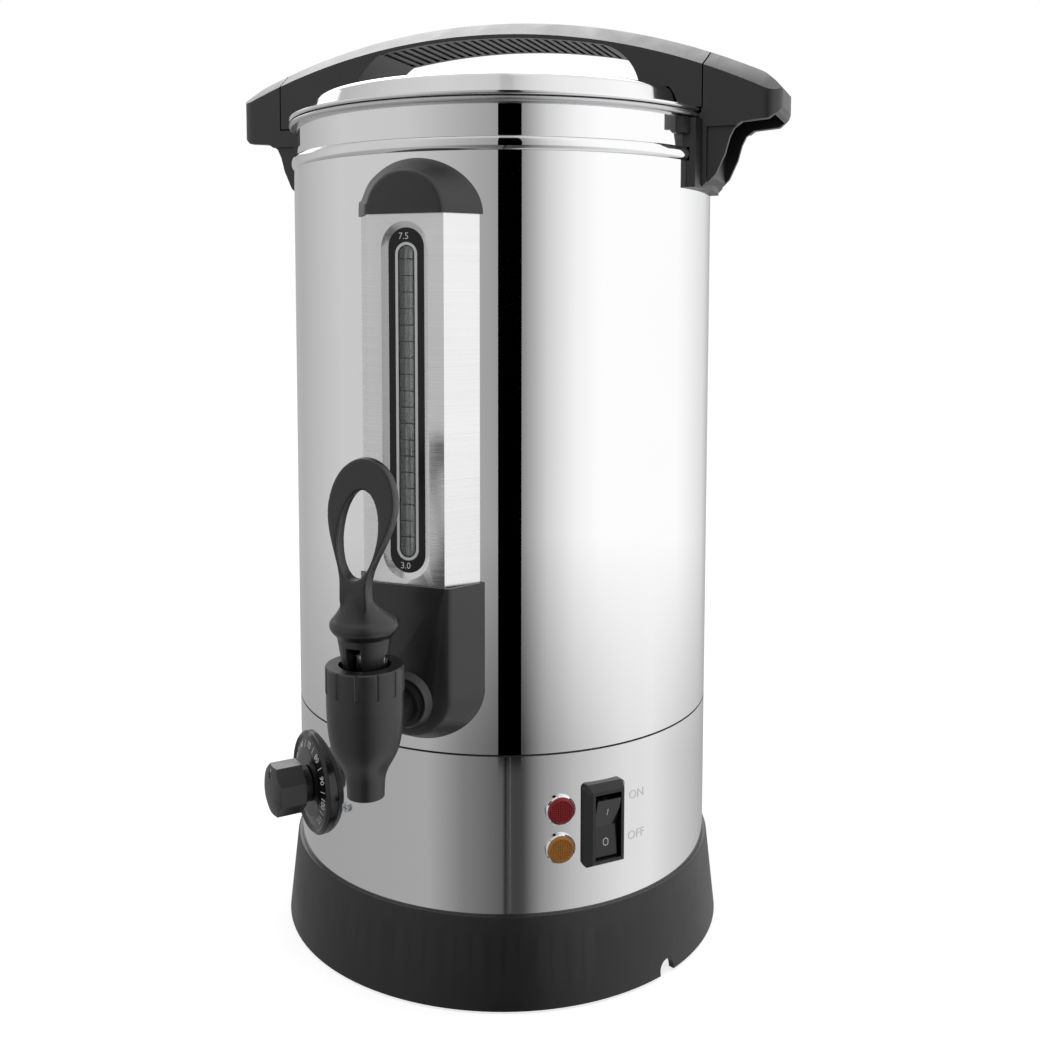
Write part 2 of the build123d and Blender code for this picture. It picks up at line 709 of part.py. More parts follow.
def gauge_cover():
    """Folded stainless cover with a pressed window for the water gauge."""
    outer = trapezoid(cover_face, cover_half_front, cover_half_back, cover_bottom, cover_top)
    inner = trapezoid(cover_face - sheet, cover_half_front - sheet * 0.7,
                      cover_half_back - sheet * 1.35, cover_bottom - 1, cover_top + 1)
    cover = outer - inner - shell_core()
    lip = stadium(window_half_outer + 0.8, window_bottom - 0.8, window_top + 0.8,
                  cover_face - 0.01, window_depth - 0.01)
    cover = cover + lip
    spread = window_half_outer - window_half_inner
    cover -= stadium(window_half_outer, window_bottom, window_top, cover_face, window_depth, spread)
    return pick(cover)


def gauge_plate():
    """Black scale plate behind the window, with a long slot for the glass."""
    front = cover_face - window_depth
    margin = plate_half - window_half_inner
    inset = window_half_outer - window_half_inner
    plate = stadium(plate_half, window_bottom + inset - margin, window_top - inset + margin,
                    front, plate_thick)
    return plate - stadium(slot_half, slot_bottom, slot_top, front + 1, plate_thick + 2)


def gauge_lens():
    """Clear strip in the plate's slot."""
    front = cover_face - window_depth
    return stadium(slot_half - 0.05, slot_bottom + 0.05, slot_top - 0.05, front - 0.1, plate_thick - 0.2)


def sight_tube():
    """Glass tube that shows the water level."""
    at = Pos(0, -tube_reach, 0)
    return at * tube(tube_radius, tube_bore, tube_bottom, tube_top)


def tube_seals():
    """Rubber bushes at both ends of the sight tube."""
    at = Pos(0, -tube_reach, 0)
    low = tube(tube_radius + seal_wall, tube_radius, tube_bottom, tube_bottom + 8)
    high = tube(tube_radius + seal_wall, tube_radius, tube_top - 5, tube_top)
    return group([at * low, at * high])


def half_dome(half, base, rise, face):
    """Closed upright outline: a flat bottom edge and a half ellipse above it."""
    plane = Plane(origin=(0, -face, base), x_dir=(1, 0, 0), z_dir=(0, -1, 0))
    steps = [math.radians(15 * i) for i in range(1, 12)]
    through = [(half * math.cos(a), rise * math.sin(a)) for a in steps]
    curve = Spline([(half, 0)] + through + [(-half, 0)], tangents=[(0, 1), (0, -1)])
    return plane * make_face([curve, Line((-half, 0), (half, 0))])


def cap_screw_azimuths():
    """Azimuths of the two screws of the cap."""
    return (-cap_screw_azimuth, cap_screw_azimuth)


def round_steps(radius):
    """Inset and sink of the steps that round off a front edge."""
    steps = []
    for angle in (25, 45, 65, 90):
        a = math.radians(angle)
        steps.append((radius * (1 - math.cos(a)), radius * (1 - math.sin(a))))
    return steps


def gauge_cap():
    """Domed cap over the top of the gauge cover, with room for the tube's end."""
    back = shell_radius - 7.0
    touch = math.sqrt(shell_radius ** 2 - cap_back_half ** 2)
    grow = (cap_back_half - cap_front_radius) / (cap_face - touch) * (touch - back)
    sections = [half_dome(cap_back_half + grow, cap_bottom, cap_back_rise + grow, back)]
    for inset, sink in round_steps(front_round):
        front = cap_front_radius - inset
        sections.append(half_dome(front, cap_bottom, front, cap_face - sink))
    cap = loft(sections, ruled=True)
    room = trapezoid(cover_face + slip, cover_half_front + 0.3, cover_half_back + 0.3,
                     cap_bottom - 1, cover_top + 2 * slip)
    cap = cap - room - shell_core(shell_radius + 0.02)
    cap -= post(0, -tube_reach, cap_bottom - 1, tube_top + 0.2, tube_radius + seal_wall)
    for azimuth in cap_screw_azimuths():
        cap -= outward(azimuth, cutter_from, cap_face - 5.3, cap_screw_height, 1.5)
    return pick(cap)


def cap_screws():
    """Two screws from inside the shell into the cap."""
    pieces = []
    inner = shell_radius - sheet
    for azimuth in cap_screw_azimuths():
        head = outward(azimuth, inner - 2.6, inner - 0.5, cap_screw_height, 3.2)
        shank = outward(azimuth, inner - 1.0, inner + 8.0, cap_screw_height, 1.5)
        pieces.append(head + shank)
    return group(pieces)


def tap_housing():
    """Black housing that the tap comes out of; it takes in the cover's lower end."""
    back = shell_radius - 7.0
    touch = math.sqrt(shell_radius ** 2 - housing_half_back ** 2)
    rise = housing_shoulder - housing_bottom
    front_rise = rise - 7.0
    grow = (housing_half_back - housing_half_front) / (housing_face - touch) * (touch - back)

    def outline(half, drop, face, top):
        plane = Plane(origin=(0, -face, housing_shoulder), x_dir=(1, 0, 0), z_dir=(0, -1, 0))
        up = top - housing_shoulder
        steps = [math.radians(15 * i) for i in range(1, 12)]
        through = [(half * math.cos(a), -drop * math.sin(a)) for a in steps]
        curve = Spline([(half, 0)] + through + [(-half, 0)], tangents=[(0, -1), (0, 1)])
        sides = Polyline((-half, 0), (-half, up), (half, up), (half, 0))
        return plane * make_face([curve, sides])

    def shape(inset, top):
        face = housing_face - inset
        half = housing_half_front - inset * 0.75
        drop = front_rise - inset * 0.75
        side = housing_half_back + grow - inset * 1.3
        sections = [outline(side, rise + grow - inset * 1.3, back, top)]
        for step, sink in round_steps(front_round):
            sections.append(outline(half - step, drop - step, face - sink, top))
        return loft(sections, ruled=True)

    outer = shape(0.0, housing_top)
    room = shape(housing_wall, housing_top + 4)
    floor = housing_bottom + 2.0
    housing = outer - (room - post(0, 0, 0, floor, 200)) - shell_core(shell_radius + 0.02)
    collar = forward(housing_face - boss_depth, housing_face - 1.0, tap_height, 13.6)
    cone = Pos(0, -(housing_face + 1.2), tap_height) * Rot(90, 0, 0) * Cone(14.2, 11.4, 4.4)
    housing = housing + collar + cone
    housing -= trapezoid(cover_face + slip, cover_half_front + slip, cover_half_back + slip,
                         cover_bottom - slip, housing_top + 5)
    housing -= forward(cutter_from, housing_face + 16.4, tap_height, tail_radius + slip)
    return pick(housing)


# ---------------------------------------------------------------- tap
def tail_pipe(extra=0.0, bore=0.0):
    """The tap's threaded tail, as a solid cylinder or a drilled one."""
    pipe = forward(tail_end, tap_reach, tap_height, tail_radius + extra)
    if bore > 0:
        pipe -= forward(tail_end - 1, tap_reach, tap_height, bore)
    return pipe


def tap_profile():
    """Outer (radius, height) points of the tap body, from the outlet up."""
    waist = [(8.2, -24.2), (8.5, -20.7), (9.3, -18.0), (10.7, -15.0), (12.4, -12.0), (14.0, -8.6),
             (15.3, -3.7), (16.0, 1.8), (16.4, 8.3)]
    middle = [(radius, tap_height + rise) for radius, rise in waist]
    return [(8.0, tap_outlet_bottom)] + middle + [(16.5, collar_nut_bottom - 0.1)]


def tap_body():
    """Tap body with the valve chamber, the outlet and the tail pipe through the urn's wall."""
    outline = tap_profile()
    curve = Spline(outline, tangents=[(0, 1), (0, 1)])
    top = Polyline(outline[-1], (14.2, outline[-1][1]), (14.2, tap_top), (0, tap_top),
                   (0, tap_outlet_bottom), outline[0])
    outer = revolve(Plane.XZ * make_face([curve, top]), Axis.Z)
    body = Pos(0, -tap_reach, 0) * outer
    body += forward(tail_end, tap_reach - 8, tap_height, tail_radius)
    at = Pos(0, -tap_reach, 0)
    body -= at * post(0, 0, valve_seat + 4.0, tap_top + 1, valve_bore)
    body -= at * turned([(0, valve_seat - 0.5), (outlet_bore, valve_seat - 0.5),
                         (valve_bore, valve_seat + 4.0), (0, valve_seat + 4.0)])
    body -= at * post(0, 0, tap_outlet_bottom - 1, valve_seat + 1, outlet_bore)
    body -= forward(tail_end - 1, tap_reach - 4, tap_height, tail_bore)
    body -= post(0, -tube_reach, tap_height, tap_height + 12, 1.8)
    return pick(body)


def tap_flange():
    """Loose flange ring against the housing's boss."""
    ring = forward(housing_face + 3.5, housing_face + 8.0, tap_height, 10.0)
    return ring - tail_pipe(slip)


def gauge_tee():
    """Ring fitting on the tail pipe with the socket for the sight tube."""
    ring = forward(shell_radius + gasket_thick, housing_face - boss_depth, tap_height, 10.2)
    socket = Pos(0, -tube_reach, 0) * post(0, 0, tap_height, tube_bottom + 9, tube_radius + 1.4)
    room = housing_face - boss_depth - shell_radius - gasket_thick
    slot_middle = -(shell_radius + gasket_thick + room / 2)
    tee = ring + (socket & (Pos(0, slot_middle, tube_bottom) * Box(20, room, 60)))
    tee -= tail_pipe(slip)
    at = Pos(0, -tube_reach, 0)
    tee -= at * post(0, 0, tube_bottom, tube_bottom + 20, tube_radius + seal_wall)
    tee -= at * post(0, 0, tap_height, tube_bottom + 1, 1.8)
    return pick(tee)


def wall_gaskets():
    """Rubber rings on both sides of the shell and inside the tank, around the tail pipe."""
    outer = forward(shell_radius - 2, shell_radius + gasket_thick, tap_height, 10.2) - shell_core()
    gap_ring = forward(tank_radius - 3, shell_radius + 1, tap_height, 11.5)
    gap_ring = (gap_ring & shell_core(shell_radius - sheet)) - shell_core(tank_radius)
    inner = forward(tank_radius - 4.2, tank_radius + 1, tap_height, 12.0)
    inner = inner & shell_core(tank_radius - sheet)
    rings = [outer, gap_ring, inner]
    return group([pick(ring - tail_pipe(slip)) for ring in rings])


def tail_nut():
    """Hexagon nut inside the tank that clamps the tap."""
    at = Plane(origin=(0, -(tank_radius - 4.2), tap_height), x_dir=(1, 0, 0), z_dir=(0, 1, 0))
    nut = extrude(at * RegularPolygon(12.5, 6), 6.5)
    return nut - tail_pipe(slip)


def tap_collar():
    """Fluted ring nut on top of the tap body."""
    ring = tube(collar_nut_radius, collar_nut_mouth, collar_nut_bottom, collar_nut_top)
    ring -= post(0, 0, collar_nut_bottom - 1, bonnet_top + 0.1, 14.4)
    top_edges = ring.edges().group_by(Axis.Z)[-1]
    ring = chamfer(top_edges.sort_by(SortBy.RADIUS)[-1], 0.6)
    for i in range(flute_count):
        a = math.radians(360 / flute_count * (i + 0.5))
        reach = collar_nut_radius + flute_radius * 0.5
        ring -= post(reach * math.cos(a), reach * math.sin(a), collar_nut_bottom - 1,
                     collar_nut_top + 1, flute_radius)
    return Pos(0, -tap_reach, 0) * ring


def tap_bonnet():
    """Guide for the stem, clamped under the ring nut."""
    piece = turned([(stem_radius + 0.08, bonnet_foot), (7.2, bonnet_foot), (7.2, tap_top), (14.2, tap_top),
                    (14.2, bonnet_top), (stem_radius + 0.08, bonnet_top)])
    return Pos(0, -tap_reach, 0) * piece


def tap_stem():
    """Valve stem: disc and rod below, flat tongue with a slot for the lever's pin above."""
    tongue_foot = bonnet_top + 0.3
    disc = turned([(0, stem_disc_foot), (7.6, stem_disc_foot), (7.6, stem_disc_top),
                   (stem_radius, stem_disc_top), (stem_radius, tongue_foot + 0.3),
                   (0, tongue_foot + 0.3)])
    tongue_half = 3.6
    tongue_at = Pos(0, 0, (tongue_foot + lever_pivot) / 2)
    tongue = tongue_at * Box(4.0, 2 * tongue_half, lever_pivot - tongue_foot)
    tongue += Pos(0, 0, lever_pivot) * Rot(0, 90, 0) * Cylinder(tongue_half, 4.0)
    slot_radius = lever_pin_radius + 0.15
    slot = Pos(0, 0, lever_pivot) * Rot(0, 90, 0) * Cylinder(slot_radius, 6)
    slot += Pos(0, 0, lever_pivot - stem_lift) * Rot(0, 90, 0) * Cylinder(slot_radius, 6)
    slot += Pos(0, 0, lever_pivot - stem_lift / 2) * Box(6, 2 * slot_radius, stem_lift)
    neck = tongue & (Pos(0, 0, lever_pivot) * Box(10, 6.0, 40))
    upper = (tongue & (Pos(0, 0, lever_pivot + 19) * Box(10, 20, 48))) + neck
    return Pos(0, -tap_reach, 0) * (disc + upper - slot)


def tap_seal():
    """Silicone seat washer under the stem's disc."""
    cone = turned([(0, valve_seat - 0.2), (outlet_bore - 0.5, valve_seat - 0.2),
                   (outlet_bore + 2.2, valve_seat + 2.2), (outlet_bore + 2.2, stem_disc_foot),
                   (0, stem_disc_foot)])
    return Pos(0, -tap_reach, 0) * cone


def tap_spring():
    """Compression spring between the stem's disc and the bonnet."""
    wire = 0.5
    low = stem_disc_top + wire
    high = bonnet_foot - wire
    coil = Helix(pitch=(high - low) / 5, height=high - low, radius=5.4, center=(0, 0, low))
    start = Plane(origin=coil @ 0, z_dir=coil % 0)
    return Pos(0, -tap_reach, 0) * sweep(start * Circle(wire), coil)


def tap_lever():
    """Loop lever: slotted cup below, flared foot with a ribbed heel, neck and finger loop."""
    # Heights are counted from the pivot. Forward of the tap's axis is negative Y.
    drop = -lever_cup_drop
    foot = turned([
        (0, drop), (lever_cup_radius, drop), (11.6, 9.0), (14.0, 11.6), (15.0, 13.6), (14.8, 15.2),
        (14.0, 16.4), (0, 16.4)])
    flare = loft([
        Pos(0, 0, 15.6) * Circle(14.4), Pos(0, -2.4, 19.4) * Ellipse(10.9, 9.6),
        Pos(0, -5.2, 23.6) * Ellipse(7.9, 6.2), Pos(0, -7.0, 28.4) * Ellipse(6.3, 4.2)])
    right = [(6.4, 21.0), (6.6, 25.0), (6.4, 31.0), (7.0, 37.0), (10.0, 45.0), (13.6, 53.5),
             (15.6, 62.0), (14.6, 71.5), (10.4, 79.6), (0, 84.7)]
    left = [(-x, z) for x, z in reversed(right[:-1])]
    loop_edge = Spline(right + left, tangents=[(0, 1), (0, -1)])
    front = Plane.XZ * make_face([loop_edge, Line(left[-1], right[0])])
    plate = extrude(front, 40, both=True)
    fore = [(-9.4, 21.0), (-10.6, 26.0), (-10.8, 32.0), (-9.4, 41.0), (-4.4, 59.0), (-0.6, 77.0),
            (0.8, 85.5)]
    aft = [(5.4, 85.5), (4.8, 77.0), (2.0, 59.0), (-1.8, 41.0), (-3.4, 32.0), (-3.0, 26.0),
           (-0.5, 21.0)]
    side_plane = Plane(origin=(0, 0, 0), x_dir=(0, 1, 0), z_dir=(1, 0, 0))
    outline = side_plane * make_face([Spline(fore), Line(fore[-1], aft[0]), Spline(aft),
                                      Line(aft[-1], fore[0])])
    blade = plate & extrude(outline, 30, both=True)
    blade -= Pos(0, 0, 52.9) * Rot(90, 0, 0) * extrude(Ellipse(9.0, 18.3), 40, both=True)
    heel = Pos(0, 15.6, 10.7) * Box(15, 6.4, 5.6)
    for i in range(4):
        heel -= Pos(0, 13.6 + 1.6 * i, 13.6) * Box(16, 0.7, 1.2)
    lever = foot + flare + blade + heel
    open_top = 5.8
    open_low = drop - 2
    lever -= Pos(0, 0, (open_top + open_low) / 2) * Box(cup_slot, 40, open_top - open_low)
    lever -= Pos(0, 0, 4) * Box(cup_slot, 13.4, 9.8)
    lever -= Rot(0, 90, 0) * Cylinder(lever_pin_radius, 30)
    return Pos(0, -tap_reach, lever_pivot) * pick(lever)


def lever_pin():
    """Pin through the lever's cup and the stem's slot."""
    pin = Pos(0, -tap_reach, lever_pivot) * Rot(0, 90, 0) * Cylinder(lever_pin_radius, 18.4)
    return pin


# ---------------------------------------------------------------- controls
def dial_bezel():
    """Fixed scale ring of the thermostat dial, seated on the band."""
    at = face_plane(dial_azimuth, 0, dial_height)
    face = dial_bezel_face
    ring = turned([(shaft_radius + 0.6, cutter_from), (dial_bezel_radius, cutter_from),
                   (dial_bezel_radius, face - 2.2), (dial_bezel_radius - 1.6, face - 0.6),
                   (dial_bezel_radius - 3.4, face - 1.6), (knob_radius + 3.0, face),
                   (shaft_radius + 0.6, face)])
    return pick(at * ring - shell_core())


def dial_knob():
    """Eight-sided knob with a pointer groove, on a round hub."""
    at = face_plane(dial_azimuth, 0, dial_height)
    octagon = extrude(Pos(0, 0, knob_base) * Rot(0, 0, 22.5) * RegularPolygon(knob_radius, 8),
                      knob_end - knob_base)
    dome = turned([(0, knob_base), (knob_radius + 1, knob_base), (knob_radius + 1, knob_end - 3.0),
                   (knob_radius - 1.4, knob_end - 1.2), (knob_radius - 5, knob_end), (0, knob_end)])
    knob = (octagon & dome) + post(0, 0, hub_base, knob_base, knob_hub_radius)
    knob -= post(0, 0, hub_base - 1, hub_base + shaft_grip, shaft_radius)
    knob -= Pos(0, knob_radius - 3, knob_end) * Box(1.4, 8, 1.6)
    return at * knob


def thermostat_shaft():
    """Steel spindle from the thermostat to the knob."""
    return outward(dial_azimuth, shell_radius - 11.0, hub_base + shaft_grip, dial_height, shaft_radius)


def thermostat_body():
    """Thermostat behind the band, on a bracket that reaches both screws."""
    plate = shell_radius - 10.0
    can = outward(dial_azimuth, plate - 16.0, plate - 1.5, dial_height, 15.0)
    bracket = outward_box(dial_azimuth, plate - 1.5, plate, dial_screw_height, 62.0, 12.0)
    body = can + bracket
    for side in (-1, 1):
        lug_at = dial_azimuth + side * dial_screw_turn
        lug = outward(lug_at, plate - 4.0, shell_radius - sheet, dial_screw_height, 3.6)
        body += lug & shell_core(shell_radius - sheet)
    for side in (-1, 1):
        lug_at = dial_azimuth + side * dial_screw_turn
        body -= outward(lug_at, plate - 2.0, shell_radius + 5, dial_screw_height, 1.4)
    body -= outward(dial_azimuth, plate - 10, shell_radius + 10, dial_height, shaft_radius + slip)
    return pick(body)


def dial_screws():
    """Two small screws that hold the thermostat's bracket to the band."""
    pieces = []
    for side in (-1, 1):
        azimuth = dial_azimuth + side * dial_screw_turn
        height = dial_screw_height
        head = outward(azimuth, shell_radius, shell_radius + 1.2, height, 2.4)
        head -= outward_box(azimuth, shell_radius + 0.5, shell_radius + 2, height, 3.6, 0.6)
        head -= outward_box(azimuth, shell_radius + 0.5, shell_radius + 2, height, 0.6, 3.6)
        pieces.append(head + outward(azimuth, shell_radius - 9.0, shell_radius + 0.4, height, 1.4))
    return group(pieces)


def switch_bezel():
    """Raised black frame around the rocker."""
    corner = 2.4
    foot = face_plane(switch_azimuth, cutter_from, switch_height)
    knee = face_plane(switch_azimuth, shell_radius + switch_skirt, switch_height)
    outline = RectangleRounded(switch_width, switch_tall, corner)
    frame = extrude(foot * outline, shell_radius + switch_skirt - cutter_from)
    frame += extrude(knee * outline, switch_face - shell_radius - switch_skirt, taper=switch_taper)
    frame -= outward_box(switch_azimuth, shell_radius - 20, shell_radius + 20, switch_height,
                         rocker_width + 1.4, rocker_tall + 2.6)
    return pick(frame - shell_core())


def switch_body():
    """Switch block behind the band, clipped into the cutout."""
    wide = rocker_width + 2.0
    block = outward_box(switch_azimuth, shell_radius - 26, shell_radius - 1.8, switch_height,
                        wide, rocker_tall + 2.0)
    block += outward_box(switch_azimuth, shell_radius - 22, shell_radius - 5, switch_height,
                         wide, rocker_tall + 8.0)
    well = outward_box(switch_azimuth, cutter_from, shell_radius - 1, switch_height,
                       rocker_width + 0.8, rocker_tall + 0.9)
    block = block & shell_core(shell_radius - sheet - slip)
    block -= well
    axle = face_plane(switch_azimuth, rocker_axis_reach, switch_height) * Rot(0, 90, 0)
    return pick(block - axle * Cylinder(1.4, rocker_width + 1.6))


def switch_rocker():
    """Rocker with a shallow V face, its lower end pressed in, on its own trunnions."""
    half = rocker_tall / 2
    rock = make_face(Polyline((-half + 1.2, 0), (-half, 9.6), (0, 7.0), (half, 9.6),
                              (half - 1.2, 0), (6, -2.6), (-6, -2.6), close=True))
    body = extrude(rock, rocker_width / 2, both=True)
    trunnions = Pos(0, 0, 0) * Cylinder(1.3, rocker_width + 1.4)
    # Local X up the skin and local Y outward.
    plane = face_plane(switch_azimuth, rocker_axis_reach, switch_height)
    up = Plane(origin=plane.origin, x_dir=(0, 0, 1), z_dir=plane.x_dir)
    return up * (Rot(0, 0, rocker_swing / 2) * (body + trunnions))


def lamp_rings():
    """Chromed rings of both pilot lamps."""
    pieces = []
    for height in lamp_heights:
        at = face_plane(lamp_azimuth, 0, height)
        ring = turned([(lamp_lens_radius, shell_radius - 6), (lamp_ring_radius, shell_radius - 6),
                       (lamp_ring_radius, shell_radius + 1.2), (lamp_ring_radius - 0.5, shell_radius + 1.8),
                       (lamp_lens_radius, shell_radius + 1.8)])
        pieces.append(pick(at * ring - shell_core()))
    return group(pieces)


def lamp_lens(height):
    """Faceted lens of one pilot lamp, with a stem through the band."""
    at = face_plane(lamp_azimuth, 0, height)
    stem = lamp_lens_radius - 1.0
    lens = turned([(0, shell_radius - 3.2), (stem, shell_radius - 3.2), (stem, shell_radius + 0.4),
                   (lamp_lens_radius - 0.1, shell_radius + 0.4),
                   (lamp_lens_radius - 0.1, shell_radius + 1.9),
                   (lamp_lens_radius - 1.2, shell_radius + 2.7), (0, shell_radius + 2.7)])
    return at * lens


def lamp_holders():
    """Lamp sockets behind the band."""
    pieces = []
    for height in lamp_heights:
        socket = outward(lamp_azimuth, shell_radius - 22, shell_radius - 3.2, height, 7.4)
        nut = outward(lamp_azimuth, shell_radius - 5, shell_radius, height, 8.4)
        piece = socket + (nut & shell_core(shell_radius - sheet))
        bore = lamp_lens_radius - 0.9
        piece -= outward(lamp_azimuth, shell_radius - 3.2, shell_radius + 10, height, bore)
        pieces.append(pick(piece))
    return group(pieces)


# ---------------------------------------------------------------- inside the base
def heater_plate():
    """Cast heater disc clamped under the tank."""
    top = tank_bottom
    disc = post(0, 0, top - heater_thick, top, heater_radius)
    groove_at = Plane.XZ * Pos(element_circle, top - heater_thick)
    disc -= revolve(groove_at * Circle(element_radius + slip), Axis.Z)
    for i in range(stud_count):
        at = ring_point(360 / stud_count * i + 30, stud_circle)
        disc -= post(at.X, at.Y, top - 20, top + 1, stud_radius + slip)
    return disc


def heating_element():
    """Tubular element in the heater disc's groove, with two cold ends."""
    low = tank_bottom - heater_thick
    sweep_angle = 330.0
    section = Plane.XZ * Pos(element_circle, low) * Circle(element_radius)
    ring = revolve(section, Axis.Z, sweep_angle)
    ends = []
    for a in (2.5, sweep_angle - 2.5):
        x = element_circle * math.cos(math.radians(a))
        y = element_circle * math.sin(math.radians(a))
        ends.append(post(x, y, low - 22, low, 3.0))
    return ring + ends


def tie_studs():
    """Studs welded under the tank, through the heater disc."""
    pieces = []
    for i in range(stud_count):
        at = ring_point(360 / stud_count * i + 30, stud_circle)
        low = post(at.X, at.Y, tank_bottom - heater_thick - 12, tank_bottom, stud_radius)
        pieces.append(low)
    return group(pieces)


def stud_nuts():
    """Nuts that clamp the heater disc."""
    pieces = []
    low = tank_bottom - heater_thick
    for i in range(stud_count):
        at = ring_point(360 / stud_count * i + 30, stud_circle)
        nut = extrude(Pos(at.X, at.Y, low - 4) * RegularPolygon(4.6, 6), 4)
        pieces.append(nut - post(at.X, at.Y, low - 20, low + 20, stud_radius))
    return group(pieces)


def thermal_cutout():
    """Boil-dry cut-out on the bottom cover, with a well for its reset button."""
    at = ring_point(reset_azimuth, reset_circle)
    floor = cover_plate_seat + cover_plate_thick
    can = post(at.X, at.Y, floor, floor + 22, 11.0)
    can -= post(at.X, at.Y, floor - 1, floor + 8, 4.3)
    return can


def reset_button():
    """Reset button of the cut-out, reached through the bottom cover."""
    at = ring_point(reset_azimuth, reset_circle)
    floor = cover_plate_seat + cover_plate_thick
    button = turned([(0, cover_plate_seat - 1.2), (2.4, cover_plate_seat - 1.2),
                     (2.8, cover_plate_seat - 0.8), (2.8, floor + 0.6), (3.9, floor + 0.6),
                     (3.9, floor + 3.6), (0, floor + 3.6)])
    return Pos(at.X, at.Y, 0) * button


def terminal_block():
    """Mains terminal block on the bottom cover, beside the gland."""
    at = ring_point(notch_azimuth, gland_circle - 34)
    floor = cover_plate_seat + cover_plate_thick
    block = Pos(at.X, at.Y, floor + 8) * Rot(0, 0, notch_azimuth) * Box(34, 18, 16)
    for i in (-1, 0, 1):
        hole = Rot(0, 0, notch_azimuth) * Pos(10.5 * i, 0, 0) * Cylinder(2.0, 9)
        block -= Pos(at.X, at.Y, floor + 16) * hole
    return block


node_builders = {
    "base_skirt": base_skirt,
    "bottom_cover": bottom_cover,
    "feet": feet,
    "base_screws": base_screws,
    "cable_gland": cable_gland,
    "lower_band": lower_band,
    "outer_shell": outer_shell,
    "collar_ring": collar_ring,
    "inner_tank": inner_tank,
    "lid": lid,
    "lid_seal": lid_seal,
    "lid_screws": lid_screws,
    "lid_handle": lid_handle,
    "side_handle_left": lambda: side_handle(-1),
    "side_handle_right": lambda: side_handle(1),
    "handle_screws": handle_screws,
    "gauge_cover": gauge_cover,
    "gauge_plate": gauge_plate,
    "gauge_lens": gauge_lens,
    "sight_tube": sight_tube,
    "tube_seals": tube_seals,
    "gauge_cap": gauge_cap,
    "cap_screws": cap_screws,
    "tap_housing": tap_housing,
    "tap_body": tap_body,
    "tap_flange": tap_flange,
    "gauge_tee": gauge_tee,
    "wall_gaskets": wall_gaskets,
    "tail_nut": tail_nut,
    "tap_collar": tap_collar,
    "tap_bonnet": tap_bonnet,
    "tap_stem": tap_stem,
    "tap_seal": tap_seal,
    "tap_spring": tap_spring,
    "tap_lever": tap_lever,
    "lever_pin": lever_pin,
    "dial_bezel": dial_bezel,
    "dial_knob": dial_knob,
    "thermostat_shaft": thermostat_shaft,
    "thermostat_body": thermostat_body,
    "dial_screws": dial_screws,
    "switch_bezel": switch_bezel,
    "switch_body": switch_body,
    "switch_rocker": switch_rocker,
    "lamp_rings": lamp_rings,
    "lamp_lens_red": lambda: lamp_lens(lamp_heights[0]),
    "lamp_lens_amber": lambda: lamp_lens(lamp_heights[1]),
    "lamp_holders": lamp_holders,
    "heater_plate": heater_plate,
    "heating_element": heating_element,
    "tie_studs": tie_studs,
    "stud_nuts": stud_nuts,
    "thermal_cutout": thermal_cutout,
    "reset_button": reset_button,
    "terminal_block": terminal_block,
}

os.makedirs("parts", exist_ok=True)
for name, build in node_builders.items():
    export_step(build(), f"parts/{name}.step")
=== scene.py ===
"""Hot water urn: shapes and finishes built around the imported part.

Pieces are shaped in millimetres and become objects in metres. Azimuths are degrees about
the urn's axis, 0 at the tap and positive towards +X. The urn stands on z = 0.
"""
import json
import logging
import math
from dataclasses import dataclass
from enum import Enum

import bmesh
import bpy
from mathutils import Matrix, Vector


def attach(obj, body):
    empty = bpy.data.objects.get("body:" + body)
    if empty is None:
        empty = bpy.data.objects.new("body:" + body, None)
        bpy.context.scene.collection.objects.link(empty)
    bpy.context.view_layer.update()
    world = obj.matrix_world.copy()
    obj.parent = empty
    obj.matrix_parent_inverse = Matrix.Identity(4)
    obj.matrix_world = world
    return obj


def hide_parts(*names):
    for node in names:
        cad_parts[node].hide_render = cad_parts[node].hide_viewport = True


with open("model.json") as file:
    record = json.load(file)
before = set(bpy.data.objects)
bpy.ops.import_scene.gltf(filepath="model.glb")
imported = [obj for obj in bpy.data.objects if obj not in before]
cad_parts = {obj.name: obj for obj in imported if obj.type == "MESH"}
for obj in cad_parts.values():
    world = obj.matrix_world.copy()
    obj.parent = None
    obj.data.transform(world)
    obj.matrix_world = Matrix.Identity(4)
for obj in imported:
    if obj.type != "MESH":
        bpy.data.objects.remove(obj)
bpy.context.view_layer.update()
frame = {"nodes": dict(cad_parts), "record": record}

log = logging.getLogger("urn")
MM = 0.001
Point = tuple[float, float]
Range = tuple[float, float]
Triple = tuple[float, float, float]
Node = bpy.types.Node
Socket = bpy.types.NodeSocket
Shape = bmesh.types.BMesh
Piece = bpy.types.Object
Inputs = dict[str | int, object]


class Body(str, Enum):
    """Moving bodies that a piece can ride on."""

    URN = "urn"
    LID = "lid"
    LEVER = "lever"
    KNOB = "knob"
    ROCKER = "rocker"


class Slot(str, Enum):
    """Material slots of the record."""

    BLACK = "black_plastic"
    GLOSS = "gloss_black"
    GAUGE = "gauge_black"
    POLISHED = "polished_steel"
    PLAIN = "plain_steel"
    ZINC = "zinc_steel"
    RUBBER = "black_rubber"
    SILICONE = "clear_silicone"
    GLASS = "clear_glass"
    RED_LENS = "red_lens"
    AMBER_LENS = "amber_lens"
    CAST = "cast_aluminium"
    PHENOLIC = "brown_phenolic"
    RED = "red_button"
    WHITE = "white_plastic"


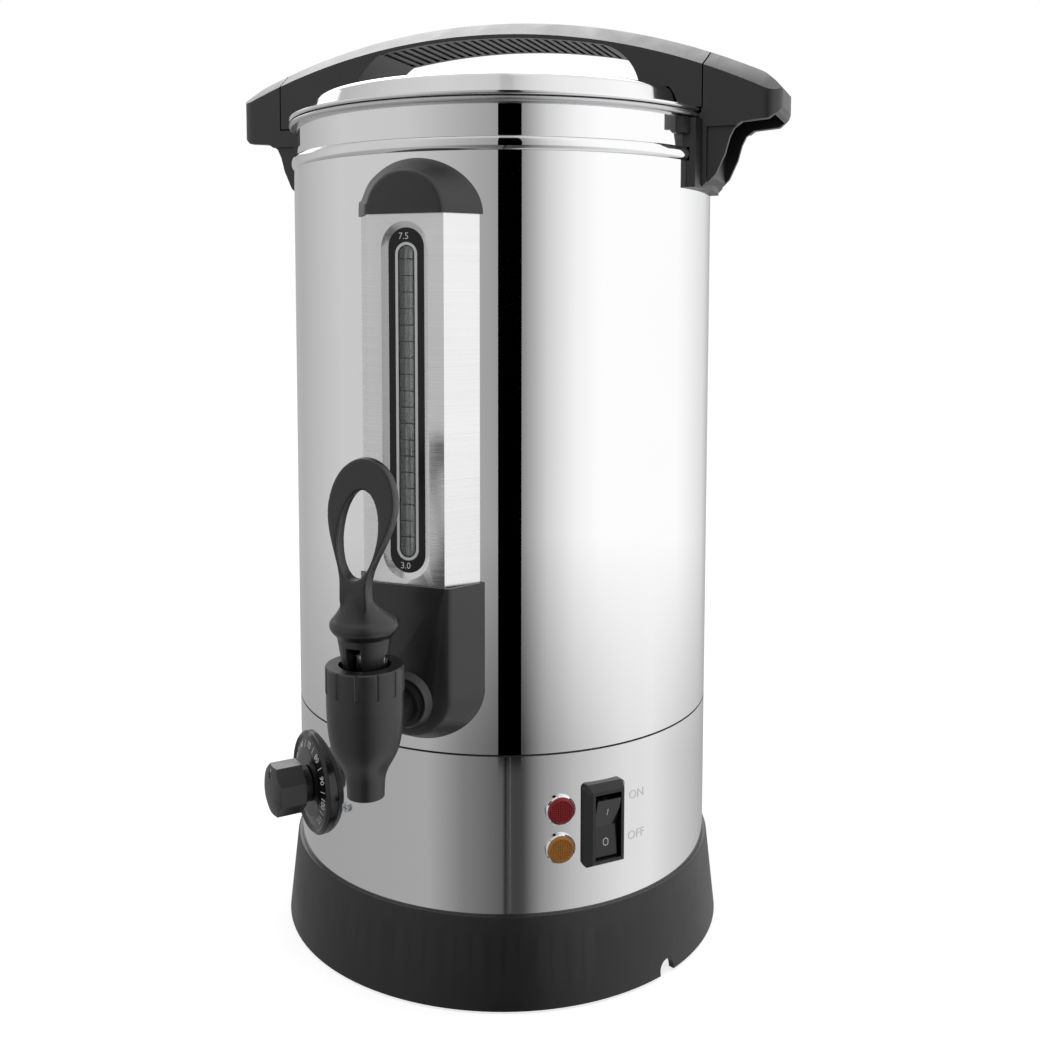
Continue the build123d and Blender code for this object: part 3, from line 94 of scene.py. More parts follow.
# ---------------------------------------------------------------- shared sizes
@dataclass(frozen=True)
class UrnSizes:
    """Sizes that several sub-assemblies share: millimetres, and degrees for azimuths and turns."""

    sheet: float = 0.8
    slip: float = 0.1
    shell_radius: float = 110.0
    shell_bottom: float = 121.0
    band_top: float = 120.7
    shell_top: float = 398.2
    rim_height: float = 419.2
    dome_height: float = 435.3
    band_seat: float = 37.0
    tap_height: float = 149.2
    tail_radius: float = 8.0
    dial_azimuth: float = -40.0
    dial_height: float = 85.0
    dial_screw_turn: float = 17.2
    dial_screw_height: float = 83.0
    lamp_azimuth: float = 35.2
    lamp_lens_radius: float = 6.6
    red_lamp_height: float = 93.8
    amber_lamp_height: float = 75.2
    switch_azimuth: float = 46.6
    switch_height: float = 84.5
    rocker_width: float = 12.6
    rocker_tall: float = 29.0


SIZES = UrnSizes()


# ---------------------------------------------------------------- shader nodes
def plain_grey(brightness: float) -> tuple[float, float, float, float]:
    """An opaque grey."""
    return (brightness, brightness, brightness, 1.0)


class NodeBoard:
    """Adds and links the nodes of one shader tree."""

    def __init__(self, tree: bpy.types.NodeTree) -> None:
        """Empties the tree.

        Args:
            tree: node tree of a material or of the world.
        """
        self.tree = tree
        tree.nodes.clear()

    def add(self, kind: str, inputs: Inputs | None = None, **settings: object) -> Node:
        """Adds one node.

        Args:
            kind: node type.
            inputs: socket name or number to a value or to another node's output.
            settings: attributes of the node.

        Returns:
            The new node.
        """
        node = self.tree.nodes.new(kind)
        for key, value in settings.items():
            setattr(node, key, value)
        for key, value in (inputs or {}).items():
            if isinstance(value, Socket):
                self.tree.links.new(value, node.inputs[key])
            else:
                node.inputs[key].default_value = value
        return node

    def maths(self, operation: str, *values: object) -> Socket:
        """Result of a Math node.

        Args:
            operation: name of the operation.
            values: numbers or sockets.

        Returns:
            The output socket.
        """
        return self.add("ShaderNodeMath", dict(enumerate(values)), operation=operation).outputs[0]

    def remap(self, value: Socket, source: Range, target: Range = (0.0, 1.0)) -> Socket:
        """Maps one range of numbers to another, clamped.

        Args:
            value: socket to read.
            source: range of the value.
            target: range of the result.

        Returns:
            The output socket.
        """
        names = ("From Min", "From Max", "To Min", "To Max")
        inputs = {"Value": value, **dict(zip(names, (*source, *target)))}
        return self.add("ShaderNodeMapRange", inputs).outputs["Result"]

    def ramp(self, value: Socket, stops: list[Point]) -> Socket:
        """Grey ramp.

        Args:
            value: socket that runs from 0 to 1.
            stops: place and brightness of each stop, in order.

        Returns:
            The colour socket.
        """
        node = self.add("ShaderNodeValToRGB", {"Fac": value})
        elements = node.color_ramp.elements
        while len(elements) < len(stops):
            elements.new(1.0)
        for element, (place, _) in zip(elements, stops):
            element.position = place
        for element, (_, grey) in zip(elements, stops):
            element.color = plain_grey(grey)
        return node.outputs["Color"]

    def object_noise(self, scale: Triple, size: float = 1.0, detail: float = 2.0) -> Socket:
        """Noise in the object's own metres.

        Args:
            scale: repeats per metre along each axis.
            size: overall factor on the scale.
            detail: octaves.

        Returns:
            The noise factor.
        """
        coordinates = self.add("ShaderNodeTexCoord").outputs["Object"]
        mapping = self.add("ShaderNodeMapping", {"Vector": coordinates, "Scale": scale})
        inputs = {"Vector": mapping.outputs["Vector"], "Scale": size, "Detail": detail}
        return self.add("ShaderNodeTexNoise", inputs).outputs["Fac"]

    def shades(self, colour: Triple, spread: float, factor: Socket) -> Socket:
        """Two close shades of a colour, mixed by a factor.

        Args:
            colour: middle colour.
            spread: how far the shades lie to either side, as a share.
            factor: mixing factor.

        Returns:
            The colour socket.
        """
        dark = tuple(c * (1 - spread) for c in colour) + (1.0,)
        light = tuple(min(1.0, c * (1 + spread)) for c in colour) + (1.0,)
        return self.blend(factor, dark, light)

    def blend(self, factor: object, first: object, second: object) -> Socket:
        """Mixes two colours.

        Args:
            factor: share of the second colour, a number or a socket.
            first: colour or socket.
            second: colour or socket.

        Returns:
            The colour socket.
        """
        return self.add("ShaderNodeMix", {0: factor, 6: first, 7: second}, data_type="RGBA").outputs[2]

    def either(self, factor: Socket, first: Node, second: Node) -> Node:
        """Mixes two shaders.

        Args:
            factor: share of the second shader.
            first: shader node.
            second: shader node.

        Returns:
            The mixing node.
        """
        return self.add("ShaderNodeMixShader", {0: factor, 1: first.outputs[0], 2: second.outputs[0]})

    def ray_kinds(self) -> tuple[Socket, Socket]:
        """Tests on the kind of a ray.

        Returns:
            1 for a ray from the camera, straight or through clear pieces, and 1 for a mirrored ray.
        """
        path = self.add("ShaderNodeLightPath").outputs
        seen = self.maths("MAXIMUM", path["Is Camera Ray"], path["Is Transmission Ray"])
        return seen, path["Is Glossy Ray"]


# ---------------------------------------------------------------- finishes
EVEN: Triple = (1.0, 1.0, 1.0)
CLOUD_BAND: Range = (0.3, 0.7)
LINE_BAND: Range = (0.35, 0.65)


@dataclass(frozen=True)
class Finish:
    """A surface finish: one principled shader with its own small-scale texture."""

    name: str
    colour: Triple
    roughness: float
    spread: float = 0.08
    grain_scale: float = 1500.0
    grain_depth: float = 0.02
    cloud_scale: float = 45.0
    unevenness: float = 0.1

    def material(self) -> bpy.types.Material:
        """The material, made once and then reused.

        Returns:
            The material.
        """
        name = f"{self.name}_finish"
        made = bpy.data.materials.get(name)
        if made is None:
            made = bpy.data.materials.new(name)
            made.use_nodes = True
            made.diffuse_color = (*self.colour, 1.0)
            board = NodeBoard(made.node_tree)
            shader = board.add("ShaderNodeBsdfPrincipled", self.look(board))
            board.add("ShaderNodeOutputMaterial", {"Surface": shader.outputs[0]})
        return made

    def look(self, board: NodeBoard) -> Inputs:
        """Colour, roughness and bump.

        Args:
            board: nodes of the material.

        Returns:
            What the shader's sockets get.
        """
        raise NotImplementedError

    def uneven(self, board: NodeBoard, noise: Socket, band: Range) -> Socket:
        """Roughness that varies with a noise.

        Args:
            board: nodes of the material.
            noise: the noise.
            band: stretch of the noise that is used.

        Returns:
            The roughness socket.
        """
        low, high = self.roughness * (1 - self.unevenness), self.roughness * (1 + self.unevenness)
        return board.remap(noise, band, (low, min(1.0, high)))

    def bump(self, board: NodeBoard, height: Socket) -> Socket:
        """Bump of grain_depth millimetres.

        Args:
            board: nodes of the material.
            height: height from 0 to 1.

        Returns:
            The normal socket.
        """
        inputs = {"Height": height, "Strength": 1.0, "Distance": self.grain_depth * MM}
        return board.add("ShaderNodeBump", inputs).outputs[0]


@dataclass(frozen=True)
class Moulding(Finish):
    """Moulded plastic or rubber: fine grain, slightly uneven sheen."""

    specular: float = 0.5

    def look(self, board: NodeBoard) -> Inputs:
        """Colour, roughness and bump.

        Args:
            board: nodes of the material.

        Returns:
            What the shader's sockets get.
        """
        cloud = board.object_noise(EVEN, self.cloud_scale, detail=3.0)
        grain = board.object_noise(EVEN, self.grain_scale)
        return {"Base Color": board.shades(self.colour, self.spread, cloud),
                "Roughness": self.uneven(board, cloud, CLOUD_BAND),
                "Specular IOR Level": self.specular, "Normal": self.bump(board, grain)}


@dataclass(frozen=True)
class Sheet(Finish):
    """Rolled or polished metal with fine lines along one direction."""

    cloud_scale: float = 14.0
    unevenness: float = 0.3
    lines: Triple = (12.0, 12.0, 2200.0)
    painted_shade_above: float = 0.0  # height in metres above which the sheet gets a painted shade, a darker colour, and more roughness; 0 for none
    painted_shade_colour: Triple = (0.05, 0.05, 0.05)
    shaded_stretch_roughness: float = 0.5

    def look(self, board: NodeBoard) -> Inputs:
        """Colour, roughness and bump.

        Args:
            board: nodes of the material.

        Returns:
            What the shader's sockets get.
        """
        cloud = board.object_noise(EVEN, self.cloud_scale)
        line = board.object_noise(self.lines, detail=3.0)
        both = board.maths("ADD", board.maths("MULTIPLY", cloud, 0.5), board.maths("MULTIPLY", line, 0.5))
        colour = board.shades(self.colour, self.spread, cloud)
        rough = self.uneven(board, both, LINE_BAND)
        # Painted shade: above the given height the colour turns dark and the roughness rises.
        if self.painted_shade_above:
            place = board.add("ShaderNodeSeparateXYZ", {0: board.add("ShaderNodeTexCoord").outputs["Object"]})
            painted_shade = board.maths("GREATER_THAN", place.outputs["Z"], self.painted_shade_above)
            colour = board.blend(painted_shade, colour, (*self.painted_shade_colour, 1.0))
            rough = board.maths("MAXIMUM", rough, board.maths("MULTIPLY", painted_shade, self.shaded_stretch_roughness))
        return {"Base Color": colour, "Roughness": rough, "Metallic": 1.0, "Normal": self.bump(board, line)}


@dataclass(frozen=True)
class Clear(Finish):
    """Clear or tinted see-through material."""

    cloud_scale: float = 60.0
    unevenness: float = 0.4
    index: float = 1.49

    def look(self, board: NodeBoard) -> Inputs:
        """Colour, roughness and bump.

        Args:
            board: nodes of the material.

        Returns:
            What the shader's sockets get.
        """
        cloud = board.object_noise(EVEN, self.cloud_scale)
        return {"Base Color": board.shades(self.colour, self.spread, cloud),
                "Roughness": self.uneven(board, cloud, CLOUD_BAND),
                "IOR": self.index, "Transmission Weight": 1.0, "Normal": self.bump(board, cloud)}


FINISHES: dict[Slot, Finish] = {
    Slot.BLACK: Moulding("satin_black", (0.012, 0.012, 0.0125), 0.36, grain_depth=0.006, specular=0.75),
    Slot.GLOSS: Moulding("glossy_black", (0.006, 0.006, 0.0065), 0.17, grain_depth=0.003, specular=0.6),
    Slot.GAUGE: Moulding("printed_black", (0.006, 0.006, 0.007), 0.3, grain_depth=0.004, specular=0.4),
    Slot.POLISHED: Sheet("polished_steel", (0.9, 0.9, 0.905), 0.02, spread=0.008, grain_depth=0.00004),
    Slot.PLAIN: Sheet("rolled_steel", (0.62, 0.62, 0.63), 0.28, spread=0.04, grain_depth=0.004),
    Slot.ZINC: Sheet("zinc_plated", (0.66, 0.67, 0.7), 0.3, spread=0.08, grain_depth=0.006,
                     lines=(500.0, 500.0, 500.0)),
    Slot.RUBBER: Moulding("matt_rubber", (0.02, 0.02, 0.02), 0.75, grain_depth=0.03, specular=0.3),
    Slot.SILICONE: Moulding("milky_silicone", (0.5, 0.49, 0.46), 0.38, grain_depth=0.01),
    Slot.GLASS: Clear("tube_glass", (0.95, 0.97, 0.97), 0.02, spread=0.01, grain_depth=0.001),
    Slot.RED_LENS: Moulding("red_lens", (0.3, 0.003, 0.01), 0.14, grain_depth=0.002),
    Slot.AMBER_LENS: Moulding("amber_lens", (0.46, 0.18, 0.015), 0.14, grain_depth=0.002),
    Slot.CAST: Moulding("cast_aluminium", (0.55, 0.55, 0.56), 0.5, grain_scale=600.0, grain_depth=0.05),
    Slot.PHENOLIC: Moulding("brown_phenolic", (0.14, 0.06, 0.03), 0.45, spread=0.25),
    Slot.RED: Moulding("red_moulding", (0.5, 0.03, 0.02), 0.35),
    Slot.WHITE: Moulding("white_moulding", (0.78, 0.78, 0.76), 0.45),
}
# Heights in mm of the two stretches with painted shade: a dark line along the band's top edge, where it meets
# the shell, and the flat top of the lid, made darker so that the handle's ribs above it mirror shade.
SEAM_SHADE = 0.3
LID_TOP_SHADE = 0.2
COVER_STEEL = Sheet("cover_steel", (0.84, 0.84, 0.845), 0.3, spread=0.01, grain_depth=0.0004)
# The band's top edge gets a painted shade: a dark line at its seam with the shell.
BAND_STEEL = Sheet("band_steel", (0.88, 0.88, 0.885), 0.06, spread=0.01, grain_depth=0.0004,
                   painted_shade_above=(SIZES.band_top - SEAM_SHADE) * MM)
# The flat top of the lid gets a painted shade, so that the handle's ribs over it look darker.
LID_STEEL = Sheet("lid_steel", (0.88, 0.88, 0.885), 0.1, spread=0.01, grain_depth=0.0006,
                  painted_shade_above=(SIZES.dome_height - LID_TOP_SHADE) * MM, painted_shade_colour=(0.38, 0.38, 0.385))
STAMPED_STEEL = Sheet("stamped_steel", (0.6, 0.6, 0.61), 0.3, spread=0.05, grain_depth=0.003)
# A darker copy of the satin black: painted shade on the skirt.
SHADED_SKIRT_BLACK = Moulding("shaded_skirt_black", (0.009, 0.009, 0.0095), 0.36, grain_depth=0.006, specular=0.5)
WHITE_PRINT = Moulding("white_print", (0.82, 0.82, 0.82), 0.5, spread=0.03, grain_depth=0.004)
GREY_PRINT = Moulding("grey_print", (0.035, 0.035, 0.037), 0.5, spread=0.05, grain_depth=0.004)


# ---------------------------------------------------------------- shaping
def skin_matrix(azimuth: float, distance: float, height: float) -> Matrix:
    """Places a shape on the urn's skin.

    Args:
        azimuth: degrees about the urn's axis.
        distance: distance from the axis, mm.
        height: height, mm.

    Returns:
        Matrix whose X runs along the skin, Y up and Z outwards.
    """
    a = math.radians(azimuth)
    along = Vector((math.cos(a), math.sin(a), 0))
    out = Vector((math.sin(a), -math.cos(a), 0))
    rotation = Matrix((along, Vector((0, 0, 1)), out)).transposed().to_4x4()
    return Matrix.Translation(out * distance + Vector((0, 0, height))) @ rotation


def arc(centre: Point, radii: Point, first: float, step: float, count: int) -> list[Point]:
    """Points along a round or oval stretch of an outline.

    Args:
        centre: its middle, mm.
        radii: half its width and half its height, mm.
        first: angle of the first point, degrees.
        step: angle from one point to the next, degrees.
        count: number of points.

    Returns:
        The points.
    """
    angles = [math.radians(first + step * i) for i in range(count)]
    return [(centre[0] + radii[0] * math.cos(a), centre[1] + radii[1] * math.sin(a)) for a in angles]


def spun(profile: list[Point], steps: int) -> Shape:
    """Turns a closed outline about Z.

    Args:
        profile: (radius, height) points; the last one joins the first.
        steps: steps of the full turn.

    Returns:
        The turned shape.
    """
    bm = bmesh.new()
    verts = [bm.verts.new((r, 0, z)) for r, z in profile]
    edges = [bm.edges.new(pair) for pair in zip(verts, verts[1:] + verts[:1])]
    bmesh.ops.spin(bm, geom=verts + edges, cent=(0, 0, 0), axis=(0, 0, 1), dvec=(0, 0, 0),
                   angle=2 * math.pi, steps=steps, use_merge=True, use_duplicate=False)
    bmesh.ops.remove_doubles(bm, verts=bm.verts, dist=1e-4)
    bmesh.ops.dissolve_degenerate(bm, edges=bm.edges, dist=1e-5)
    bmesh.ops.recalc_face_normals(bm, faces=bm.faces)
    return bm


def block(size: Triple, matrix: Matrix = Matrix()) -> Shape:
    """A box to cut with or to shape further.

    Args:
        size: lengths along the box's own axes, mm.
        matrix: where it goes.

    Returns:
        The box.
    """
    bm = bmesh.new()
    bmesh.ops.create_cube(bm, size=1.0, matrix=matrix @ Matrix.Diagonal((*size, 1.0)))
    return bm


def rod(radius: float, length: float, matrix: Matrix = Matrix(), sides: int = 48) -> Shape:
    """A round rod along the matrix's Z.

    Args:
        radius: its radius, mm.
        length: its length, mm.
        matrix: where its middle goes.
        sides: number of sides.

    Returns:
        The rod.
    """
    bm = bmesh.new()
    bmesh.ops.create_cone(bm, cap_ends=True, segments=sides, radius1=radius, radius2=radius,
                          depth=length, matrix=matrix)
    return bm


def bore(radius: float, azimuth: float, height: float, reach: float = SIZES.shell_radius,
         length: float = 20.0) -> Shape:
    """A round cutter through the urn's wall.

    Args:
        radius: radius of the hole, mm.
        azimuth: where it is, degrees.
        height: its height, mm.
        reach: distance of the wall from the axis, mm.
        length: length of the cutter, mm.

    Returns:
        The cutter.
    """
    return rod(radius, length, skin_matrix(azimuth, reach, height))


def moved(bm: Shape, matrix: Matrix) -> Shape:
    """The same shape after a transform."""
    bmesh.ops.transform(bm, matrix=matrix, verts=bm.verts)
    return bm


def tilt(degrees: float, axis: str = "X") -> Matrix:
    """Turn about a local axis: positive takes X to Y, Y to Z or Z to X."""
    return Matrix.Rotation(math.radians(degrees), 4, axis)


def shift(x: float = 0.0, y: float = 0.0, z: float = 0.0) -> Matrix:
    """Move along local axes, mm."""
    return Matrix.Translation((x, y, z))


def raised(bm: Shape, thick: float) -> Shape:
    """Gives flat faces on z = 0 a thickness along +Z.

    Args:
        bm: flat shape.
        thick: thickness, mm.

    Returns:
        The closed shape.
    """
    flat = list(bm.faces)
    grown = bmesh.ops.extrude_face_region(bm, geom=flat, use_keep_orig=True)["geom"]
    top = [v for v in grown if isinstance(v, bmesh.types.BMVert)]
    bmesh.ops.translate(bm, vec=(0, 0, thick), verts=top)
    bmesh.ops.recalc_face_normals(bm, faces=bm.faces)
    return bm


def stadium(half_width: float, low: float, high: float, sides: int = 64) -> Shape:
    """Flat upright outline with round ends.

    Args:
        half_width: half its width, mm.
        low: its lowest Y, mm.
        high: its highest Y, mm.
        sides: number of points around.

    Returns:
        One flat face.
    """
    bm = bmesh.new()
    half_step = Matrix.Rotation(math.pi / sides, 4, "Z")
    bmesh.ops.create_circle(bm, cap_ends=True, segments=sides, radius=half_width, matrix=half_step)
    for verts, y in (([v for v in bm.verts if v.co.y > 0], high - half_width),
                     ([v for v in bm.verts if v.co.y < 0], low + half_width)):
        bmesh.ops.translate(bm, vec=(0, y, 0), verts=verts)
    return bm


def outline_ring(bm: Shape, width: float) -> Shape:
    """Keeps only a border of a flat face.

    Args:
        bm: shape of one flat face.
        width: width of the border, mm.

    Returns:
        The border.
    """
    bmesh.ops.inset_region(bm, faces=list(bm.faces), thickness=width, use_even_offset=True,
                           use_boundary=True)
    middle = max(bm.faces, key=lambda face: len(face.verts))
    bmesh.ops.delete(bm, geom=[middle], context="FACES_ONLY")
    return bm


def joined(shapes: list[Shape]) -> Shape:
    """Puts several shapes in one.

    Args:
        shapes: the shapes, freed afterwards.

    Returns:
        One shape with all of them.
    """
    whole = bmesh.new()
    carrier = bpy.data.meshes.new("carrier")
    for shape in shapes:
        shape.to_mesh(carrier)
        shape.free()
        whole.from_mesh(carrier)
    bpy.data.meshes.remove(carrier)
    return whole


def lettering(words: str, size: float, thick: float) -> Shape:
    """Plain letters or numbers, centred on the origin.

    Args:
        words: what is written.
        size: height of a line, mm.
        thick: thickness along +Z, mm.

    Returns:
        The letters as one shape.
    """
    curve = bpy.data.curves.new("lettering", "FONT")
    curve.body = words
    curve.size = size
    curve.align_x = "CENTER"
    curve.align_y = "CENTER"
    curve.resolution_u = 3
    curve.extrude = thick / 2
    holder = placed("lettering", curve)
    mesh = evaluated_mesh(holder)
    bpy.data.objects.remove(holder)
    bpy.data.curves.remove(curve)
    bm = bmesh.new()
    bm.from_mesh(mesh)
    bpy.data.meshes.remove(mesh)
    bmesh.ops.remove_doubles(bm, verts=bm.verts, dist=1e-4)
    bmesh.ops.translate(bm, vec=(0, 0, thick / 2), verts=bm.verts)
    return bm


def wrapped(bm: Shape, azimuth: float, radius: float, height: float) -> Shape:
    """Lays a flat shape around the urn's round skin.

    Args:
        bm: shape with X along the skin, Y up and Z outwards.
        azimuth: azimuth of its middle, degrees.
        radius: radius of the skin, mm.
        height: height of its middle, mm.

    Returns:
        The bent shape.
    """
    for vert in bm.verts:
        x, y, z = vert.co
        vert.co = skin_matrix(azimuth + math.degrees(x / radius), radius + z, height + y).translation
    return bm


def placed(name: str, data: bpy.types.ID) -> Piece:
    """Adds an object to the scene.

    Args:
        name: its name.
        data: its mesh, curve, camera or light.

    Returns:
        The object, at the origin.
    """
    thing = bpy.data.objects.new(name, data)
    bpy.context.scene.collection.objects.link(thing)
    return thing


def discard(thing: Piece) -> None:
    """Removes an object and its mesh.

    Args:
        thing: the object.
    """
    mesh = thing.data
    bpy.data.objects.remove(thing)
    bpy.data.meshes.remove(mesh)


def evaluated_mesh(thing: Piece) -> bpy.types.Mesh:
    """A new mesh of an object with its modifiers applied."""
    bpy.context.view_layer.update()
    return bpy.data.meshes.new_from_object(thing.evaluated_get(bpy.context.evaluated_depsgraph_get()))


def as_object(bm: Shape, name: str) -> Piece:
    """Makes an object in metres from a shape in millimetres.

    Args:
        bm: the shape, freed afterwards.
        name: the object's name.

    Returns:
        The linked object, at the origin.
    """
    bmesh.ops.scale(bm, vec=(MM, MM, MM), verts=bm.verts)
    mesh = bpy.data.meshes.new(name)
    bm.to_mesh(mesh)
    bm.free()
    return placed(name, mesh)


def settled(thing: Piece) -> Piece:
    """Applies an object's modifiers to its mesh.

    Args:
        thing: object with live modifiers.

    Returns:
        The same object, without modifiers.
    """
    mesh = evaluated_mesh(thing)
    mesh.name = thing.name
    old = thing.data
    thing.modifiers.clear()
    thing.data = mesh
    bpy.data.meshes.remove(old)
    return thing


def cut(thing: Piece, tools: list[Shape]) -> Piece:
    """Cuts holes into an object.

    Args:
        thing: what is cut.
        tools: shapes that are taken away.

    Returns:
        The cut object.
    """
    cutters = [as_object(tool, f"cutter_{i}") for i, tool in enumerate(tools)]
    for cutter in cutters:
        modifier = thing.modifiers.new("hole", "BOOLEAN")
        modifier.object = cutter
        modifier.operation = "DIFFERENCE"
        modifier.solver = "EXACT"
    settled(thing)
    for cutter in cutters:
        discard(cutter)
    return thing


# Points of a CAD shape that are nearer than this are merged, in mm, and flat faces that
# meet at less than this angle are joined, in degrees.
CAD_MERGE = 2e-3
CAD_FLAT = 0.6
# How squarely a side faces along Y, and how far a slope faces up and along Y.
SIDE_FACING = 0.98
SLOPE_UP = 0.4
SLOPE_ALONG = 0.3


def cad_shape(node: str) -> Shape:
    """A merged copy of a CAD node's shape, with its flat faces whole again.

    Args:
        node: name of the node.

    Returns:
        The shape in millimetres.
    """
    bm = bmesh.new()
    bm.from_mesh(frame["nodes"][node].data)
    bmesh.ops.scale(bm, vec=(1 / MM, 1 / MM, 1 / MM), verts=bm.verts)
    bmesh.ops.remove_doubles(bm, verts=bm.verts, dist=CAD_MERGE)
    bmesh.ops.dissolve_degenerate(bm, edges=bm.edges, dist=1e-4)
    bmesh.ops.dissolve_limit(bm, angle_limit=math.radians(CAD_FLAT), use_dissolve_boundaries=False,
                             verts=bm.verts, edges=bm.edges, delimit={"NORMAL"})
    return bm


def finished(thing: Piece, slot: Slot, *nodes: str, body: Body = Body.URN,
             finish: Finish | None = None, edge: float = 0.0, sharp: float = 30.0) -> Piece:
    """Gives an object its finish, its edges and its place in the part.

    Args:
        thing: the object.
        slot: material slot of the record.
        nodes: CAD nodes that it stands for.
        body: what it rides on.
        finish: its surface, or None for the slot's own.
        edge: width of the rounded edges, mm.
        sharp: angle above which an edge is kept sharp, degrees.

    Returns:
        The object.
    """
    thing.data.materials.clear()
    thing.data.materials.append((finish or FINISHES[slot]).material())
    thing.data.shade_smooth()
    thing.data.set_sharp_from_angle(angle=math.radians(sharp))
    if edge > 0:
        modifier = thing.modifiers.new("soft edges", "BEVEL")
        modifier.width = edge * MM
        modifier.segments = 2
        modifier.limit_method = "ANGLE"
        modifier.angle_limit = math.radians(sharp)
        modifier.profile = 0.5
        modifier.harden_normals = True
        modifier.use_clamp_overlap = True
    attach(thing, body.value)
    if nodes:
        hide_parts(*nodes)
    log.info("%s rides on %s with %d faces", thing.name, body.value, len(thing.data.polygons))
    return thing


def moulded(node: str, name: str, body: Body = Body.URN, slot: Slot = Slot.BLACK, edge: float = 0.45,
            sharp: float = 22.0, shoulder: float = 0.0) -> Piece:
    """A moulding that keeps its CAD shape and gets rounded edges.

    Args:
        node: the CAD node.
        name: name of the new piece.
        body: what it rides on.
        slot: its material slot.
        edge: width of the rounded edges, mm.
        sharp: angle above which an edge is rounded, degrees.
        shoulder: wider rounding between the upright sides and the sloping top, mm.

    Returns:
        The piece.
    """
    bm = cad_shape(node)
    if shoulder > 0:
        soften_shoulders(bm, shoulder)
    return finished(as_object(bm, name), slot, node, body=body, edge=edge, sharp=sharp)


def soften_shoulders(bm: Shape, width: float) -> None:
    """Rounds the long edges between sides that face along Y and the slopes above them.

    Args:
        bm: the shape.
        width: width of the rounding, mm.
    """
    bm.normal_update()
    picked = []
    for edge in bm.edges:
        if len(edge.link_faces) == 2:
            side, slope = sorted(edge.link_faces, key=lambda face: face.normal.z)
            sloped = slope.normal.z > SLOPE_UP and abs(slope.normal.y) > SLOPE_ALONG
            if abs(side.normal.y) > SIDE_FACING and sloped:
                picked.append(edge)
    bmesh.ops.bevel(bm, geom=picked, offset=width, offset_type="OFFSET", segments=5, profile=0.5,
                    affect="EDGES", clamp_overlap=True, material=-1)
    log.info("%d shoulder edges rounded", len(picked))


def marked(shapes: list[Shape], name: str, body: Body = Body.URN, slot: Slot = Slot.WHITE,
           finish: Finish = WHITE_PRINT) -> None:
    """A thin print or stamping that lies on another piece.

    Args:
        shapes: its strokes.
        name: name of the piece.
        body: what it rides on.
        slot: its material slot.
        finish: its surface.
    """
    finished(as_object(joined(shapes), name), slot, body=body, finish=finish)


